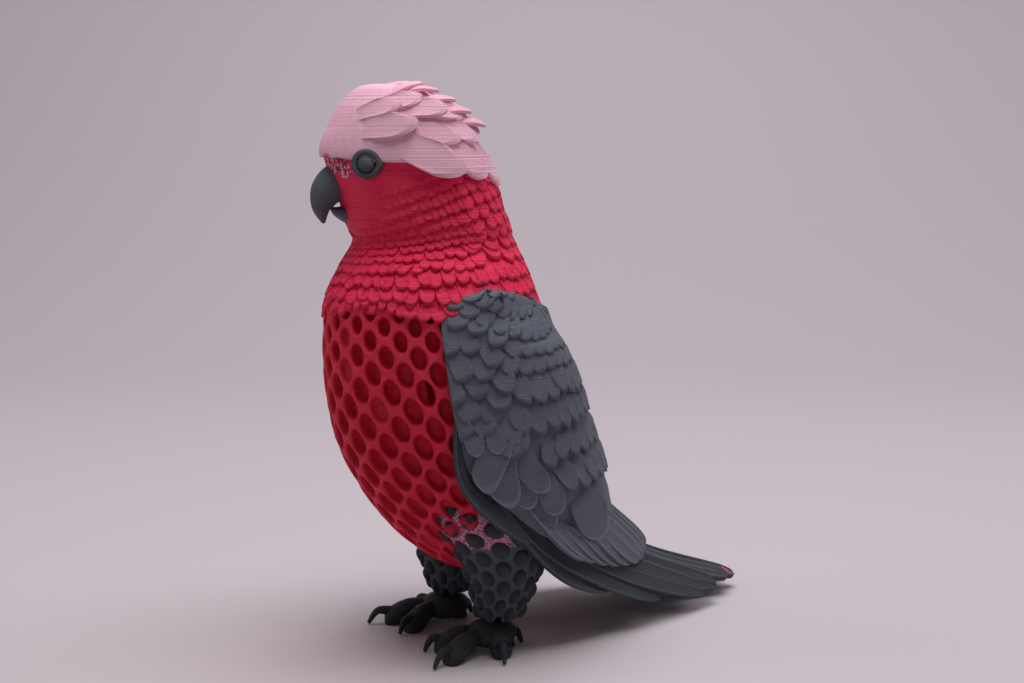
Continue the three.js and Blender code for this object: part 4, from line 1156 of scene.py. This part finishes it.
# Eyes: a flat ring let into the head and a ball in its hole, each turned from a profile of radius and height
eye = {
    "forward": 10.7, "side": 15.6, "height": 129.3, "turn": math.radians(62), "squash": 0.93,
    "ring": [[2.4, -1.3], [3.95, -1.3], [3.95, 0.05], [3.9, 0.2], [3.7, 0.38], [3.35, 0.5], [2.9, 0.46],
             [2.5, 0.36], [2.4, 0.2]],
    "ball": [[2.25, -1.3], [2.25, 0.1], [2.1, 0.45], [1.8, 0.75], [1.35, 1.0], [0.9, 1.14], [0.4, 1.22]],
    "corner": 0.6,  # how much further the ring reaches behind
}


def makeEyes():
    angle = circle(64)
    outermost = max(radius for radius, height in eye["ring"])
    cornered = 1 + eye["corner"] / outermost * np.maximum(-np.cos(angle), 0) ** 24
    for hand, name in ((1, "left"), (-1, "right")):
        outward = headPoint(math.cos(eye["turn"]), hand * math.sin(eye["turn"]), 0) - headPoint(0, 0, 0)
        centre = headPoint(eye["forward"], hand * eye["side"], eye["height"])
        upward = np.array([0, 0, 1.0])
        rearward = unit(np.cross(outward, upward) * hand)
        for part, node, reach in (("ring", "eye_ring_" + name, cornered), ("ball", "eye_" + name, 1)):
            radius, height = np.array(eye[part]).T[..., None]
            aside, up = radius * np.cos(angle) * reach, radius * np.sin(angle) * eye["squash"]
            rings = (centre + rearward * aside[..., None] + upward * up[..., None]
                     + outward * (height + 0 * angle)[..., None])
            pile = Pile()
            if part == "ring":  # closed round on itself
                pile.add(rings, [gridFaces(len(radius) + 1, len(angle)) % (len(radius) * len(angle))])
            else:
                pile.add(*cappedTube(rings))
            putMesh(node + "_turned", pile, eyePlastic, [node])


# Stage, lights and camera
studio = {
    "floor": (196, 187, 193), "floorRough": 0.6,
    "front": -1.5, "wall": 0.75, "bend": 0.35, "top": 2.5, "width": 3.0,
    "lights": [  # place, what it points at, size, power, colour
        [(0.05, 0.0, 0.95), (0, 0, 0.05), 0.7, 8.8, (1.0, 0.97, 0.98)],
        [(0.75, -0.75, 0.5), (0, 0, 0.12), 0.6, 0.8, (1.0, 0.97, 0.98)],
        [(0.35, 0.9, 0.8), (0, 0, 0.1), 0.6, 2.6, (0.97, 0.98, 1.0)],
        [(-0.5, -0.8, 0.6), (0, 0, 0.1), 0.6, 1.5, (0.97, 0.98, 1.0)],
    ],
    "world": (0.75, 0.73, 0.78), "worldStrength": 0.035,
}
shot = {
    "azimuth": math.radians(60), "pitch": math.radians(8.2), "lens": 50,
    "away": 376, "aside": 15.3, "height": 136,
}
awayWay = np.array([-math.sin(shot["azimuth"]), math.cos(shot["azimuth"]), 0])
acrossWay = np.array([math.cos(shot["azimuth"]), math.sin(shot["azimuth"]), 0])


def stand(name, data, place, way):  # a light or the camera, looking along way
    thing = bpy.data.objects.new(name, data)
    thing.location = place
    thing.rotation_mode = "QUATERNION"
    thing.rotation_quaternion = way.to_track_quat("-Z", "Y")
    bpy.context.scene.collection.objects.link(thing)
    return thing


def makeStage():
    # the floor runs away from the camera and bends up through a quarter circle into a wall
    look = studio
    bend = np.linspace(0, math.pi / 2, 16)
    curved = look["wall"] + look["bend"] * (np.sin(bend) - 1)
    along = np.concatenate([[look["front"]], curved, [look["wall"]]])
    up = np.concatenate([[0], look["bend"] * (1 - np.cos(bend)), [look["top"]]])
    sides = np.array([-look["width"] / 2, look["width"] / 2])
    points = along[:, None, None] * awayWay + sides[:, None] * acrossWay
    points = points + up[:, None, None] * np.array([0, 0, 1.0])
    mesh = bpy.data.meshes.new("studio_floor")
    mesh.from_pydata(points.reshape(-1, 3).tolist(), [], gridFaces(len(along), 2, closed=False).tolist())
    mesh.polygons.foreach_set("use_smooth", np.ones(len(mesh.polygons), bool))
    board = Board("studio paper")
    board.shader.inputs["Base Color"].default_value = rgb(*look["floor"])
    board.shader.inputs["Roughness"].default_value = look["floorRough"]
    mesh.materials.append(board.material)
    floor = bpy.data.objects.new("studio_floor", mesh)
    bpy.context.scene.collection.objects.link(floor)
    for number, (place, target, size, power, colour) in enumerate(look["lights"]):
        lamp = bpy.data.lights.new("light_%d" % number, "AREA")
        lamp.size, lamp.energy, lamp.color = size, power, colour
        stand("light_%d" % number, lamp, place, Vector(target) - Vector(place))
    world = bpy.data.worlds.new("studio")
    world.use_nodes = True
    world.node_tree.nodes["Background"].inputs["Color"].default_value = (*look["world"], 1)
    world.node_tree.nodes["Background"].inputs["Strength"].default_value = look["worldStrength"]
    bpy.context.scene.world = world
    print("floor and", len(look["lights"]), "lights placed")


def makeCamera():
    place = -awayWay * shot["away"] + acrossWay * shot["aside"] + [0, 0, shot["height"]] + shift
    way = awayWay * math.cos(shot["pitch"]) - np.array([0, 0, math.sin(shot["pitch"])])
    lens = bpy.data.cameras.new("camera")
    lens.lens, lens.sensor_width = shot["lens"], 36
    lens.clip_start, lens.clip_end = 0.01, 20
    bpy.context.scene.camera = stand("camera", lens, place * mm, Vector(way))
    bpy.context.scene.view_settings.view_transform = "Standard"
    print("camera placed", place.round(1))


makeBreast()
makeHeadSkin()
makeNeckFeathers()
makeCrest()
makeWings()
makeBack()
makeTail()
makeThighs()
makeFeet()
makeBeak()
makeEyes()
makeStage()
makeCamera()
